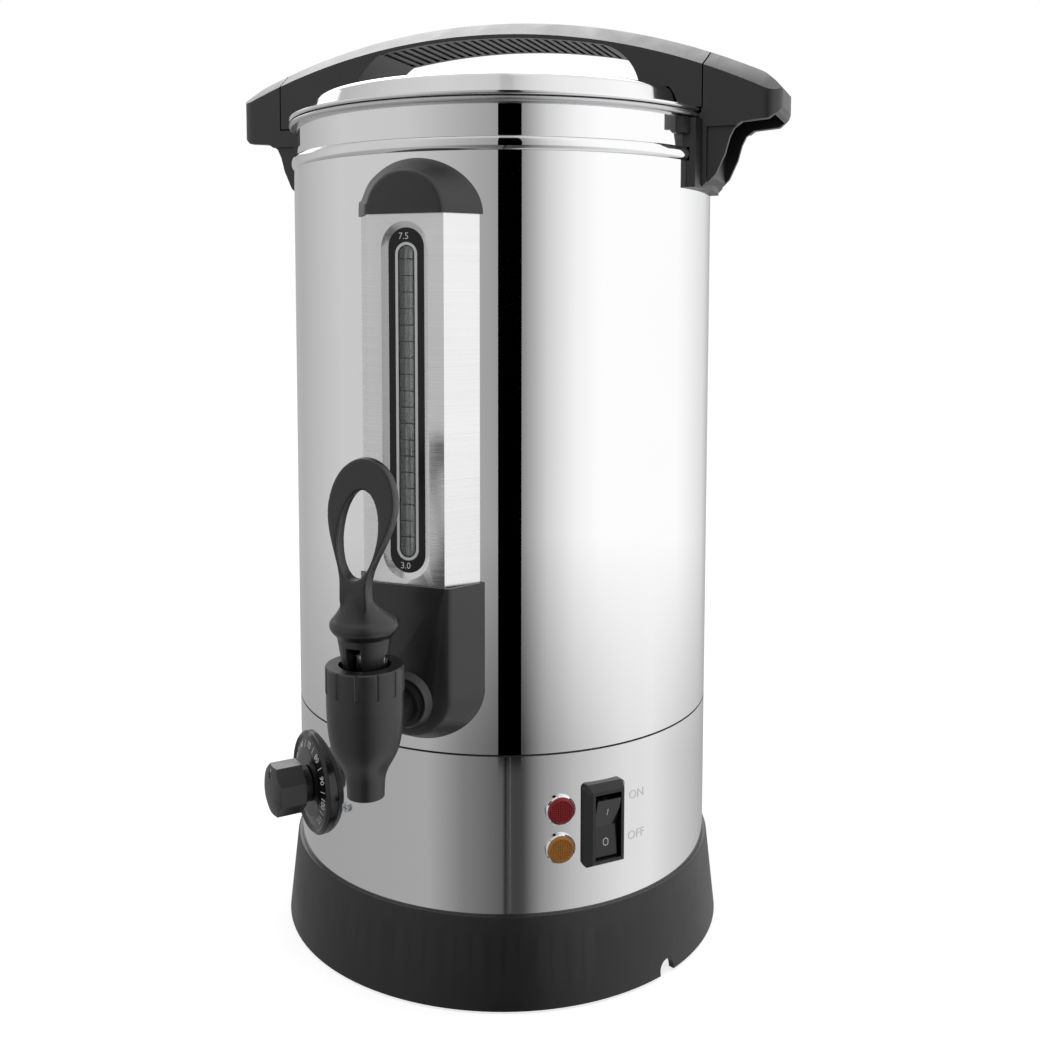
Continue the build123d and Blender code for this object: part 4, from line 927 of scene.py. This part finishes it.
# ---------------------------------------------------------------- vessel
@dataclass
class Vessel:
    """Skirt, band, shell, neck ring and tank: everything that is round about the axis."""

    steps: int = 360
    skirt_edge: float = 0.35
    # Band: its bores, the play around the rocker and its upright seam.
    band_edge: float = 0.15
    band_break: float = 0.25
    dial_bore: float = 5.5
    dial_screw_bore: float = 1.6
    lens_ledge: float = 0.8
    rocker_play: float = 2.2
    cutter_length: float = 20.0
    seam_azimuth: float = 22.9
    seam_width: float = 0.34
    seam_depth: float = 0.22
    seam_middle: float = 80.0
    seam_length: float = 200.0
    # Shell: the joggle that nests in the band, and its bores.
    edge_break: float = 0.35
    joggle: float = 9.0
    joggle_rise: float = 1.2
    tail_cutter: float = 30.0
    cap_screw_bore: float = 1.7
    cap_screw_azimuth: float = 6.0
    cap_screw_height: float = 381.8
    handle_screw_bore: float = 2.1
    handle_screw_height: float = 391.0
    handle_screw_reach: float = 9.5
    handle_cutter: float = 12.0
    # Neck ring: its rolled bead is oval.
    bead_height: float = 6.4
    bead_radius: float = 111.3
    bead_share: float = 0.45
    collar_radius: float = 108.5
    collar_foot: float = 395.4
    # Tank: its corner is cut in by this share of its radius.
    tank_steps: int = 300
    tank_radius: float = 104.5
    tank_bottom: float = 127.0
    tank_corner: float = 7.0
    corner_share: float = 0.3
    rim_radius: float = 112.5
    rim_roll: float = 1.4

    def build(self) -> None:
        """Builds all pieces."""
        self.skirt()
        self.band()
        self.shell()
        self.collar()
        self.tank()

    def skirt(self) -> None:
        """Flared black skirt, with its cord notch."""
        skirt = as_object(cad_shape("base_skirt"), "skirt")
        # The skirt gets the darker copy of the satin black, a painted shade.
        finished(skirt, Slot.BLACK, "base_skirt", finish=SHADED_SKIRT_BLACK, edge=self.skirt_edge)

    def band(self) -> None:
        """Control band with its cutouts."""
        r, top, inner = SIZES.shell_radius, SIZES.band_top, SIZES.shell_radius - SIZES.sheet
        profile = [(inner, SIZES.band_seat), (r, SIZES.band_seat), (r, top - self.band_break),
                   (r - self.band_break, top), (inner, top)]
        piece = as_object(spun(profile, self.steps), "control_band")
        dial, play = SIZES.dial_azimuth, self.rocker_play
        tools = [bore(self.dial_bore, dial, SIZES.dial_height)]
        tools += [bore(self.dial_screw_bore, dial + side * SIZES.dial_screw_turn, SIZES.dial_screw_height)
                  for side in (-1, 1)]
        tools += [bore(SIZES.lamp_lens_radius - self.lens_ledge, SIZES.lamp_azimuth, height)
                  for height in (SIZES.red_lamp_height, SIZES.amber_lamp_height)]
        tools.append(block((SIZES.rocker_width + play, SIZES.rocker_tall + play, self.cutter_length),
                           skin_matrix(SIZES.switch_azimuth, r, SIZES.switch_height)))
        tools.append(block((self.seam_width, self.seam_length, 2 * self.seam_depth),
                           skin_matrix(self.seam_azimuth, r, self.seam_middle)))
        finished(cut(piece, tools), Slot.POLISHED, "lower_band", finish=BAND_STEEL, edge=self.band_edge)

    def shell(self) -> None:
        """Polished shell, its lower edge nested in the band."""
        r, low, t = SIZES.shell_radius, SIZES.shell_bottom, SIZES.sheet
        nested = r - (t + SIZES.slip)
        profile = [(nested - t, low - self.joggle), (nested, low - self.joggle), (nested, low),
                   (r - self.edge_break, low), (r, low + self.edge_break), (r, SIZES.shell_top),
                   (r - t, SIZES.shell_top), (r - t, low + self.joggle_rise), (nested - t, low)]
        piece = as_object(spun(profile, self.steps), "polished_shell")
        tools = [bore(SIZES.tail_radius + SIZES.slip, 0, SIZES.tap_height, length=self.tail_cutter)]
        tools += [bore(self.cap_screw_bore, side * self.cap_screw_azimuth, self.cap_screw_height)
                  for side in (-1, 1)]
        tools += [rod(self.handle_screw_bore, self.handle_cutter,
                      shift(side * r, y, self.handle_screw_height) @ tilt(90, "Y"))
                  for side in (-1, 1) for y in (-self.handle_screw_reach, self.handle_screw_reach)]
        finished(cut(piece, tools), Slot.POLISHED, "outer_shell")

    def collar(self) -> None:
        """Neck ring with its rolled bead."""
        outer, top, half = self.collar_radius, SIZES.shell_top, self.bead_height / 2
        inner = outer - SIZES.sheet
        depth = self.bead_radius - inner
        bead = arc((inner + depth * (1 - self.bead_share), top + half), (depth * self.bead_share, half),
                   -90, 15, 13)
        profile = [(inner, self.collar_foot), (outer, self.collar_foot), (outer, top), *bead,
                   (outer, top + self.bead_height), (outer, SIZES.rim_height), (inner, SIZES.rim_height)]
        finished(as_object(spun(profile, self.steps), "neck_ring"), Slot.POLISHED, "collar_ring")

    def tank(self) -> None:
        """Water tank with its rolled rim."""
        r, t, bottom, corner = self.tank_radius, SIZES.sheet, self.tank_bottom, self.tank_corner
        rim, roll, lip = SIZES.rim_height, self.rim_roll, self.rim_radius - self.rim_roll
        step = corner * self.corner_share
        outside = [(0, bottom), (r - corner, bottom), (r - step, bottom + step), (r, bottom + corner),
                   (r, rim), (lip, rim)]
        inside = [(lip, rim + t), (r - t, rim + t), (r - t, bottom + corner),
                  (r - t - step, bottom + step + t / 2), (r - corner, bottom + t), (0, bottom + t)]
        profile = outside + arc((lip, rim + roll), (roll, roll), -65, 25, 11) + inside
        piece = as_object(spun(profile, self.tank_steps), "water_tank")
        hole = bore(SIZES.tail_radius + SIZES.slip, 0, SIZES.tap_height, r)
        finished(cut(piece, [hole]), Slot.PLAIN, "inner_tank")


# ---------------------------------------------------------------- lid
@dataclass
class Lid:
    """Pressed lid with its handle."""

    steps: int = 360
    rim_radius: float = 113.0
    rim_seat: float = 422.2
    roll: float = 1.15
    flange_top: float = 424.0
    dome_top_radius: float = 98.5
    dome_foot_radius: float = 102.6
    plug_radius: float = 102.9
    plug_depth: float = 9.0
    # Rounding of the dome, from its top radius and height, and of its foot, from the flange.
    crown: tuple[Point, ...] = ((-3.5, 0.0), (-2.1, -0.3), (-1.0, -0.8), (0.1, -1.8), (0.8, -3.0))
    foot: tuple[Point, ...] = ((-0.4, 1.2), (0.1, 0.4), (0.8, 0.0))
    inside_foot: float = -1.4
    inside_crown: tuple[Point, ...] = ((-0.4, -3.6), (-3.8, -0.8))
    screw_bore: float = 2.2
    screw_places: tuple[Point, ...] = ((-88.0, -9.0), (-88.0, 9.0), (88.0, -9.0), (88.0, 9.0))
    steam_bore: float = 1.5
    steam_place: Point = (0.0, 40.0)
    cutter_length: float = 8.0

    def build(self) -> None:
        """Builds all pieces."""
        self.pressing()
        moulded("lid_handle", "arched_handle", Body.LID, edge=0.6)

    def pressing(self) -> None:
        """Dome, flange, rolled rim and plug in one sheet."""
        t, dome, flange, plug = SIZES.sheet, SIZES.dome_height, self.flange_top, self.plug_radius
        top, base, rim = self.dome_top_radius, self.dome_foot_radius, self.rim_radius - self.roll
        over = [(0, dome), *((top + x, dome + z) for x, z in self.crown),
                *((base + x, flange + z) for x, z in self.foot), (rim, flange)]
        rolled = arc((rim, self.rim_seat + self.roll), (self.roll, self.roll), 28, -24, 11)
        under = [(rim, flange - t), (plug, flange - t), (plug, flange - self.plug_depth),
                 (plug - t, flange - self.plug_depth), (plug - t, flange - t),
                 (base + self.inside_foot, flange), *((top + x, dome + z) for x, z in self.inside_crown),
                 (0, dome - t)]
        piece = as_object(spun(over + rolled + under, self.steps), "pressed_lid")
        tools = [rod(self.screw_bore, self.cutter_length, shift(x, y, dome)) for x, y in self.screw_places]
        tools.append(rod(self.steam_bore, self.cutter_length, shift(*self.steam_place, dome)))
        finished(cut(piece, tools), Slot.POLISHED, "lid", body=Body.LID, finish=LID_STEEL)


# ---------------------------------------------------------------- fittings
@dataclass
class Handles:
    """Side handles beside the lid."""

    edge: float = 0.8
    shoulder: float = 2.2

    def build(self) -> None:
        """Builds both handles."""
        moulded("side_handle_left", "left_handle", edge=self.edge, shoulder=self.shoulder)
        moulded("side_handle_right", "right_handle", edge=self.edge, shoulder=self.shoulder)


@dataclass
class Gauge:
    """Folded cover with its cap, and the scale plate behind its window."""

    plate_reach: float = 119.9
    lens_reach: float = 119.8
    slot_half: float = 3.6
    slot_bottom: float = 215.0
    slot_top: float = 355.5
    ring_width: float = 1.3
    ring_gap: float = 0.5
    print_thick: float = 0.06
    first_line: float = 224.0
    # A quarter of a litre is this high in the tank.
    line_pitch: float = 7.4
    line_count: int = 18
    line_height: float = 0.35
    line_inset: float = 0.4
    number_size: float = 4.2
    top_number: Point = (-1.2, 359.9)
    bottom_number: Point = (-1.2, 210.6)

    def build(self) -> None:
        """Builds all pieces."""
        moulded("gauge_cap", "gauge_top_cap", edge=0.8)
        cover = as_object(cad_shape("gauge_cover"), "folded_cover")
        finished(cover, Slot.POLISHED, "gauge_cover", finish=COVER_STEEL, edge=0.35, sharp=22)
        self.scale_print()
        self.level_lines()

    def scale_print(self) -> None:
        """White border around the slot, with the litres at both ends."""
        at = skin_matrix(0, self.plate_reach, 0)
        half = self.slot_half + self.ring_gap + self.ring_width
        grow = half - self.slot_half
        border = stadium(half, self.slot_bottom - grow, self.slot_top + grow)
        shapes = [moved(raised(outline_ring(border, self.ring_width), self.print_thick), at)]
        for words, (x, z) in (("7.5", self.top_number), ("3.0", self.bottom_number)):
            shapes.append(moved(lettering(words, self.number_size, self.print_thick), at @ shift(x, z)))
        marked(shapes, "scale_print")

    def level_lines(self) -> None:
        """Fine lines across the clear strip, one to each quarter litre."""
        size = (2 * (self.slot_half - self.line_inset), self.line_height, self.print_thick)
        reach = self.lens_reach + self.print_thick / 2
        shapes = [block(size, skin_matrix(0, reach, self.first_line + self.line_pitch * i))
                  for i in range(self.line_count)]
        marked(shapes, "level_lines", slot=Slot.GAUGE, finish=GREY_PRINT)


@dataclass
class Tap:
    """Housing, tap body, ring nut and the loop lever."""

    voxel: float = 0.42
    blade_foot: float = 194.0
    blade_rounds: int = 40
    cup_rounds: int = 2

    def build(self) -> None:
        """Builds all pieces."""
        moulded("tap_housing", "tap_mounting", edge=0.8)
        moulded("tap_body", "tap_barrel", edge=0.35, sharp=35)
        moulded("tap_collar", "ring_nut", edge=0.35, sharp=30)
        self.loop_lever()

    def loop_lever(self) -> None:
        """Lever with an even skin, its blade rounded all over and its cup only at the edges."""
        piece = as_object(cad_shape("tap_lever"), "loop_lever")
        skin = piece.modifiers.new("even skin", "REMESH")
        skin.mode = "VOXEL"
        skin.voxel_size = self.voxel * MM
        settled(piece)
        blade = piece.vertex_groups.new(name="blade")
        foot = self.blade_foot * MM
        blade.add([v.index for v in piece.data.vertices if v.co.z > foot], 1.0, "REPLACE")
        for name, rounds, group in (("blade", self.blade_rounds, "blade"), ("cup", self.cup_rounds, "")):
            smooth = piece.modifiers.new(name, "SMOOTH")
            smooth.factor = 0.5
            smooth.iterations = rounds
            smooth.vertex_group = group
        settled(piece)
        piece.vertex_groups.clear()
        finished(piece, Slot.BLACK, "tap_lever", body=Body.LEVER, sharp=80)


@dataclass
class Dial:
    """Thermostat dial: fixed scale ring and eight-sided knob."""

    face: float = 113.6
    groove_floor: float = 133.0
    scale_radius: float = 19.6
    scale_drop: float = 0.84
    scale_slope: float = 14.5
    print_thick: float = 0.1
    number_size: float = 4.4
    sweep: float = 270.0
    first_degree: int = 30
    degree_step: int = 10
    number_count: int = 9
    tick: Point = (0.4, 3.6)
    pointer_size: Point = (0.9, 4.4)
    pointer_reach: float = 9.0

    def build(self) -> None:
        """Builds all pieces."""
        moulded("dial_bezel", "dial_plate", slot=Slot.GLOSS, edge=0.3, sharp=8)
        moulded("dial_knob", "eight_sided_knob", Body.KNOB, edge=0.35, sharp=20)
        self.scale()
        self.pointer()

    def on_scale(self, turn: float, radius: float, drop: float) -> Matrix:
        """A place on the sloping scale ring.

        Args:
            turn: degrees clockwise from the top.
            radius: distance from the dial's axis, mm.
            drop: how far the ring lies below the dial's face there, mm.

        Returns:
            Matrix whose Y points away from the dial's axis and Z out of the ring.
        """
        at = skin_matrix(SIZES.dial_azimuth, self.face - drop, SIZES.dial_height)
        return at @ tilt(-turn, "Z") @ shift(y=radius) @ tilt(-self.scale_slope)

    def scale(self) -> None:
        """White temperatures around the ring, with a tick between each two."""
        step = self.sweep / (self.number_count - 1)
        shapes = []
        for i in range(self.number_count):
            turn = -self.sweep / 2 + step * i
            words = str(self.first_degree + self.degree_step * i)
            shapes.append(moved(lettering(words, self.number_size, self.print_thick),
                                self.on_scale(turn, self.scale_radius, self.scale_drop)))
            if i + 1 < self.number_count:
                at = self.on_scale(turn + step / 2, self.scale_radius, self.scale_drop)
                shapes.append(block((*self.tick, self.print_thick), at @ shift(z=self.print_thick / 2)))
        marked(shapes, "dial_numbers")

    def pointer(self) -> None:
        """White line on the floor of the knob's groove."""
        at = skin_matrix(SIZES.dial_azimuth, self.groove_floor, SIZES.dial_height)
        line = block((*self.pointer_size, self.print_thick),
                     at @ shift(0, self.pointer_reach, self.print_thick / 2))
        marked([line], "knob_pointer", Body.KNOB)


@dataclass
class Switch:
    """Rocker switch in its raised frame, with plain marks."""

    axis_reach: float = 105.4
    rest_tilt: float = 6.0
    face_slope: float = 10.2
    face_middle: Point = (7.6, 8.36)
    mark_radius: float = 1.9
    mark_width: float = 0.45
    ring_share: float = 0.8
    print_thick: float = 0.06
    words_azimuth: float = 57.0
    words_size: float = 6.2
    on_height: float = 94.0
    off_height: float = 74.0

    def build(self) -> None:
        """Builds all pieces."""
        moulded("switch_bezel", "switch_frame", slot=Slot.GLOSS, edge=0.35, sharp=25)
        moulded("switch_rocker", "rocker", Body.ROCKER, Slot.GLOSS, edge=0.5, sharp=15)
        self.rocker_marks()
        self.words()

    def on_rocker(self, side: int) -> Matrix:
        """The middle of one half of the rocker's face.

        Args:
            side: 1 for the upper half, -1 for the lower.

        Returns:
            Matrix whose Z points out of the face.
        """
        along, out = self.face_middle
        axis = skin_matrix(SIZES.switch_azimuth, self.axis_reach, SIZES.switch_height) @ tilt(self.rest_tilt)
        return axis @ shift(0, side * along, out) @ tilt(side * self.face_slope)

    def rocker_marks(self) -> None:
        """A ring on the lower half and a bar on the upper half."""
        ring = stadium(self.mark_radius * self.ring_share, -self.mark_radius, self.mark_radius, 32)
        ring = raised(outline_ring(ring, self.mark_width), self.print_thick)
        bar = raised(stadium(self.mark_width / 2, -self.mark_radius, self.mark_radius, 16), self.print_thick)
        shapes = [moved(ring, self.on_rocker(-1)), moved(bar, self.on_rocker(1))]
        marked(shapes, "rocker_marks", Body.ROCKER)

    def words(self) -> None:
        """ON and OFF, stamped in the band beside the switch."""
        shapes = [wrapped(lettering(words, self.words_size, self.print_thick), self.words_azimuth,
                          SIZES.shell_radius, height)
                  for words, height in (("ON", self.on_height), ("OFF", self.off_height))]
        marked(shapes, "switch_words", slot=Slot.PLAIN, finish=STAMPED_STEEL)


@dataclass
class Lamps:
    """Pilot lamps with waffled lenses."""

    lens_face: float = 2.7
    lens_foot: float = -3.2
    lens_slip: float = 0.1
    flange_foot: float = 0.4
    flange_width: float = 0.9
    # Rounded lip around the waffle, from the lens's radius and face.
    lip: tuple[Point, ...] = ((0.0, -0.9), (-0.3, -0.45), (-0.8, -0.1), (-1.2, 0.0), (-1.5, -0.05))
    lip_width: float = 1.7
    lip_overlap: float = 0.05
    waffle_depth: float = 0.4
    waffle_rise: float = 0.32
    waffle_plate: float = 0.01
    waffle_cells: int = 9
    cell_gap: float = 0.12
    cutter_length: float = 20.0

    def build(self) -> None:
        """Builds all pieces."""
        self.lens("red_waffle_lens", "lamp_lens_red", Slot.RED_LENS, SIZES.red_lamp_height)
        self.lens("amber_waffle_lens", "lamp_lens_amber", Slot.AMBER_LENS, SIZES.amber_lamp_height)

    def lens(self, name: str, node: str, slot: Slot, height: float) -> None:
        """One lens: a turned body, its face pressed into small squares.

        Args:
            name: name of the piece.
            node: the CAD node that it stands for.
            slot: its material slot.
            height: height of the lamp, mm.
        """
        r, out, floor = SIZES.lamp_lens_radius - self.lens_slip, self.lens_face, self.floor()
        stem = r - self.flange_width
        body = spun([(0, self.lens_foot), (stem, self.lens_foot), (stem, self.flange_foot),
                     (r, self.flange_foot), *((r + x, out + z) for x, z in self.lip),
                     (r - self.lip_width, floor), (0, floor)], 64)
        shape = joined([body, self.waffle(r - self.lip_width + self.lip_overlap)])
        place = skin_matrix(SIZES.lamp_azimuth, SIZES.shell_radius, height)
        finished(as_object(moved(shape, place), name), slot, node)

    def floor(self) -> float:
        """Height of the waffle's floor over the skin, mm."""
        return self.lens_face - self.waffle_depth

    def waffle(self, reach: float) -> Shape:
        """A round plate of small raised squares.

        Args:
            reach: its radius, mm.

        Returns:
            The plate, on the lens's floor.
        """
        squares = bmesh.new()
        bmesh.ops.create_grid(squares, x_segments=self.waffle_cells, y_segments=self.waffle_cells, size=reach)
        raised(squares, self.waffle_plate)
        bmesh.ops.translate(squares, vec=(0, 0, self.floor() - self.waffle_plate), verts=squares.verts)
        tops = [face for face in squares.faces if face.normal.z > 0.5]
        bmesh.ops.inset_individual(squares, faces=tops, thickness=self.cell_gap, depth=self.waffle_rise)
        plate = as_object(squares, "waffle")
        keep = plate.modifiers.new("round", "BOOLEAN")
        keep.operation = "INTERSECT"
        keep.object = as_object(rod(reach, self.cutter_length), "round_tool")
        settled(plate)
        discard(bpy.data.objects["round_tool"])
        rounded = bmesh.new()
        rounded.from_mesh(plate.data)
        discard(plate)
        bmesh.ops.scale(rounded, vec=(1 / MM, 1 / MM, 1 / MM), verts=rounded.verts)
        return rounded


# ---------------------------------------------------------------- inside
@dataclass
class Internals:
    """CAD nodes that keep their shape and only get a finish."""

    def build(self) -> None:
        """Gives every node the finish of its slot."""
        for row in frame["record"]["subparts"]:
            node = frame["nodes"][row["node"]]
            finish = FINISHES[Slot(row["material_slot"])]
            node.data.materials.clear()
            node.data.materials.append(finish.material())
            log.info("%s is finished in %s", node.name, finish.name)


# ---------------------------------------------------------------- studio
@dataclass
class Studio:
    """Camera, soft light and a plain pale floor. The urn's steel mirrors the panels around it."""

    camera_distance: float = 0.6523
    camera_height: float = 0.3352
    camera_azimuth: float = 21.0
    camera_pitch: float = 4.5
    focal_pixels: float = 1204.1
    frame_pixels: float = 1040.0
    centre_pixels: Point = (502.4, 386.4)
    sensor: float = 36.0
    near_clip: float = 0.01
    # Panels that the steel mirrors. Heights are the Z of a ray's direction, -1 down and 1 up.
    soft_light: float = 0.62
    table_fade: Range = (-0.2, -0.36)
    ceiling: float = 0.8
    ceiling_share: float = 0.7
    ceiling_fade: Range = (0.7, 0.9)
    softbox: float = 4.2
    softbox_azimuth: float = -152.0
    softbox_rise: float = 51.0
    softbox_fade: Range = (0.84, 0.97)
    back_box: float = 1.4
    back_box_fade: Range = (0.5, 0.6)
    back_box_middle: float = 0.375
    back_box_half: float = 0.125
    # A black flag in front of the urn: the crisp dark stripe of its mirror-like steel.
    flag_azimuth: float = 24.85
    flag_half: float = 6.15
    flag_foot: Range = (-0.378, -0.368)
    # Brightness of the panels by azimuth, seen level with the urn and near the table.
    level_panels: tuple[Point, ...] = (
        (-180, 0.5), (-120, 0.46), (-75, 0.64), (-30, 0.62), (10, 0.4), (18.5, 0.36),
        (31.3, 0.28), (45, 0.7), (60, 0.98), (75, 1.09), (130, 1.08), (165, 0.78), (180, 0.5))
    table_panels: tuple[Point, ...] = (
        (-180, 0.42), (-105, 0.38), (-20, 0.41), (0, 0.22), (14, 0.15), (21.5, 0.11),
        (21.9, 0.01), (22.7, 0.01), (23.1, 0.08), (27, 0.055), (32, 0.06), (43, 0.31), (60, 0.54),
        (75, 0.68), (90, 0.8), (110, 0.85), (130, 0.7), (165, 0.5), (180, 0.42))
    # Overhead lamp: metres, watts and degrees.
    lamp_size: float = 1.1
    lamp_power: float = 7.0
    lamp_place: Triple = (0.1, -0.25, 1.7)
    lamp_turn: Triple = (-8.0, 4.0, 0.0)
    # Floor: half its width in millimetres, its own glow, and its shade for the camera and for the urn.
    floor_half: float = 6000.0
    floor_glow: float = 0.74
    floor_shade: float = 0.5
    floor_bounce: float = 0.2

    def build(self) -> None:
        """Builds camera, world, lamp and floor."""
        self.camera()
        self.world()
        self.lamp()
        self.floor()

    def camera(self) -> None:
        """Camera at the viewing angle."""
        data = bpy.data.cameras.new("camera")
        data.sensor_width = self.sensor
        data.lens = self.sensor * self.focal_pixels / self.frame_pixels
        data.shift_x = (self.frame_pixels / 2 - self.centre_pixels[0]) / self.frame_pixels
        data.shift_y = (self.centre_pixels[1] - self.frame_pixels / 2) / self.frame_pixels
        data.clip_start = self.near_clip
        camera = placed("camera", data)
        a = math.radians(self.camera_azimuth)
        camera.location = (self.camera_distance * math.sin(a), -self.camera_distance * math.cos(a),
                           self.camera_height)
        camera.rotation_euler = (math.radians(90 - self.camera_pitch), 0, a)
        bpy.context.scene.camera = camera

    def world(self) -> None:
        """White behind the urn, soft light on it, and panels for its mirror-like steel."""
        world = bpy.data.worlds.new("studio")
        bpy.context.scene.world = world
        world.use_nodes = True
        board = NodeBoard(world.node_tree)
        panels = board.add("ShaderNodeBackground", {"Color": self.room(board)})
        soft = board.add("ShaderNodeBackground", {"Color": plain_grey(1.0), "Strength": self.soft_light})
        white = board.add("ShaderNodeBackground", {"Color": plain_grey(1.0), "Strength": 1.0})
        seen, mirrored = board.ray_kinds()
        final = board.either(seen, board.either(mirrored, soft, panels), white)
        board.add("ShaderNodeOutputWorld", {"Surface": final.outputs[0]})

    def room(self, board: NodeBoard) -> Socket:
        """The panels around the urn.

        Args:
            board: nodes of the world.

        Returns:
            Their colour in the direction of a ray.
        """
        ray = board.add("ShaderNodeTexCoord").outputs["Generated"]
        parts = board.add("ShaderNodeSeparateXYZ", {0: ray}).outputs
        turn = board.maths("ARCTAN2", parts["X"], board.maths("MULTIPLY", parts["Y"], -1.0))
        place = board.remap(turn, (-math.pi, math.pi))
        level, table = (board.ramp(place, [((a + 180) / 360, v) for a, v in panels])
                        for panels in (self.level_panels, self.table_panels))
        room = board.blend(board.remap(parts["Z"], self.table_fade), level, table)
        flag = board.maths("COMPARE", turn, math.radians(self.flag_azimuth), math.radians(self.flag_half))
        flag = board.maths("MULTIPLY", flag, board.remap(parts["Z"], self.flag_foot))
        room = board.blend(flag, room, plain_grey(0.0))
        ceiling = board.remap(parts["Z"], self.ceiling_fade, (0.0, self.ceiling_share))
        room = board.blend(ceiling, room, plain_grey(self.ceiling))
        behind = self.towards(board, ray, self.camera_azimuth + 180, 0.0)
        low = board.maths("COMPARE", parts["Z"], self.back_box_middle, self.back_box_half)
        back_box = board.maths("MULTIPLY", board.remap(behind, self.back_box_fade), low)
        room = board.blend(back_box, room, plain_grey(self.back_box))
        softbox = self.towards(board, ray, self.softbox_azimuth, self.softbox_rise)
        return board.blend(board.remap(softbox, self.softbox_fade), room, plain_grey(self.softbox))

    def towards(self, board: NodeBoard, ray: Socket, azimuth: float, rise: float) -> Socket:
        """How closely a ray points in a direction.

        Args:
            board: nodes of the world.
            ray: direction of the ray.
            azimuth: azimuth of the direction, degrees.
            rise: its angle above the horizon, degrees.

        Returns:
            Cosine of the angle between both.
        """
        a, e = math.radians(azimuth), math.radians(rise)
        aim = (math.sin(a) * math.cos(e), -math.cos(a) * math.cos(e), math.sin(e))
        return board.add("ShaderNodeVectorMath", {0: ray, 1: aim}, operation="DOT_PRODUCT").outputs["Value"]

    def lamp(self) -> None:
        """One wide soft lamp overhead."""
        data = bpy.data.lights.new("overhead", "AREA")
        data.shape = "DISK"
        data.size = self.lamp_size
        data.energy = self.lamp_power
        lamp = placed("overhead", data)
        lamp.location = self.lamp_place
        lamp.rotation_euler = [math.radians(angle) for angle in self.lamp_turn]
        lamp.visible_glossy = False

    def floor(self) -> None:
        """White floor that keeps the urn's soft shadow and that the steel doesn't mirror."""
        bm = bmesh.new()
        bmesh.ops.create_grid(bm, x_segments=1, y_segments=1, size=self.floor_half)
        floor = as_object(bm, "floor")
        material = bpy.data.materials.new("floor")
        material.use_nodes = True
        board = NodeBoard(material.node_tree)
        shade = board.add("ShaderNodeBsdfDiffuse", {"Color": plain_grey(self.floor_shade)})
        glow = board.add("ShaderNodeEmission", {"Color": plain_grey(1.0), "Strength": self.floor_glow})
        bright = board.add("ShaderNodeAddShader", {0: shade.outputs[0], 1: glow.outputs[0]})
        bounce = board.add("ShaderNodeBsdfDiffuse", {"Color": plain_grey(self.floor_bounce)})
        seen, mirrored = board.ray_kinds()
        final = board.either(mirrored, board.either(seen, bounce, bright),
                             board.add("ShaderNodeBsdfTransparent"))
        board.add("ShaderNodeOutputMaterial", {"Surface": final.outputs[0]})
        floor.data.materials.append(material)


def main() -> None:
    """Builds everything in order and reports it."""
    logging.basicConfig(level=logging.INFO, format="%(message)s")
    bpy.context.scene.view_settings.view_transform = "Standard"
    for part in (Internals(), Vessel(), Lid(), Handles(), Gauge(), Tap(), Dial(), Switch(), Lamps(),
                 Studio()):
        part.build()
        log.info("%s built", type(part).__name__)


if __name__ == "__main__":
    main()
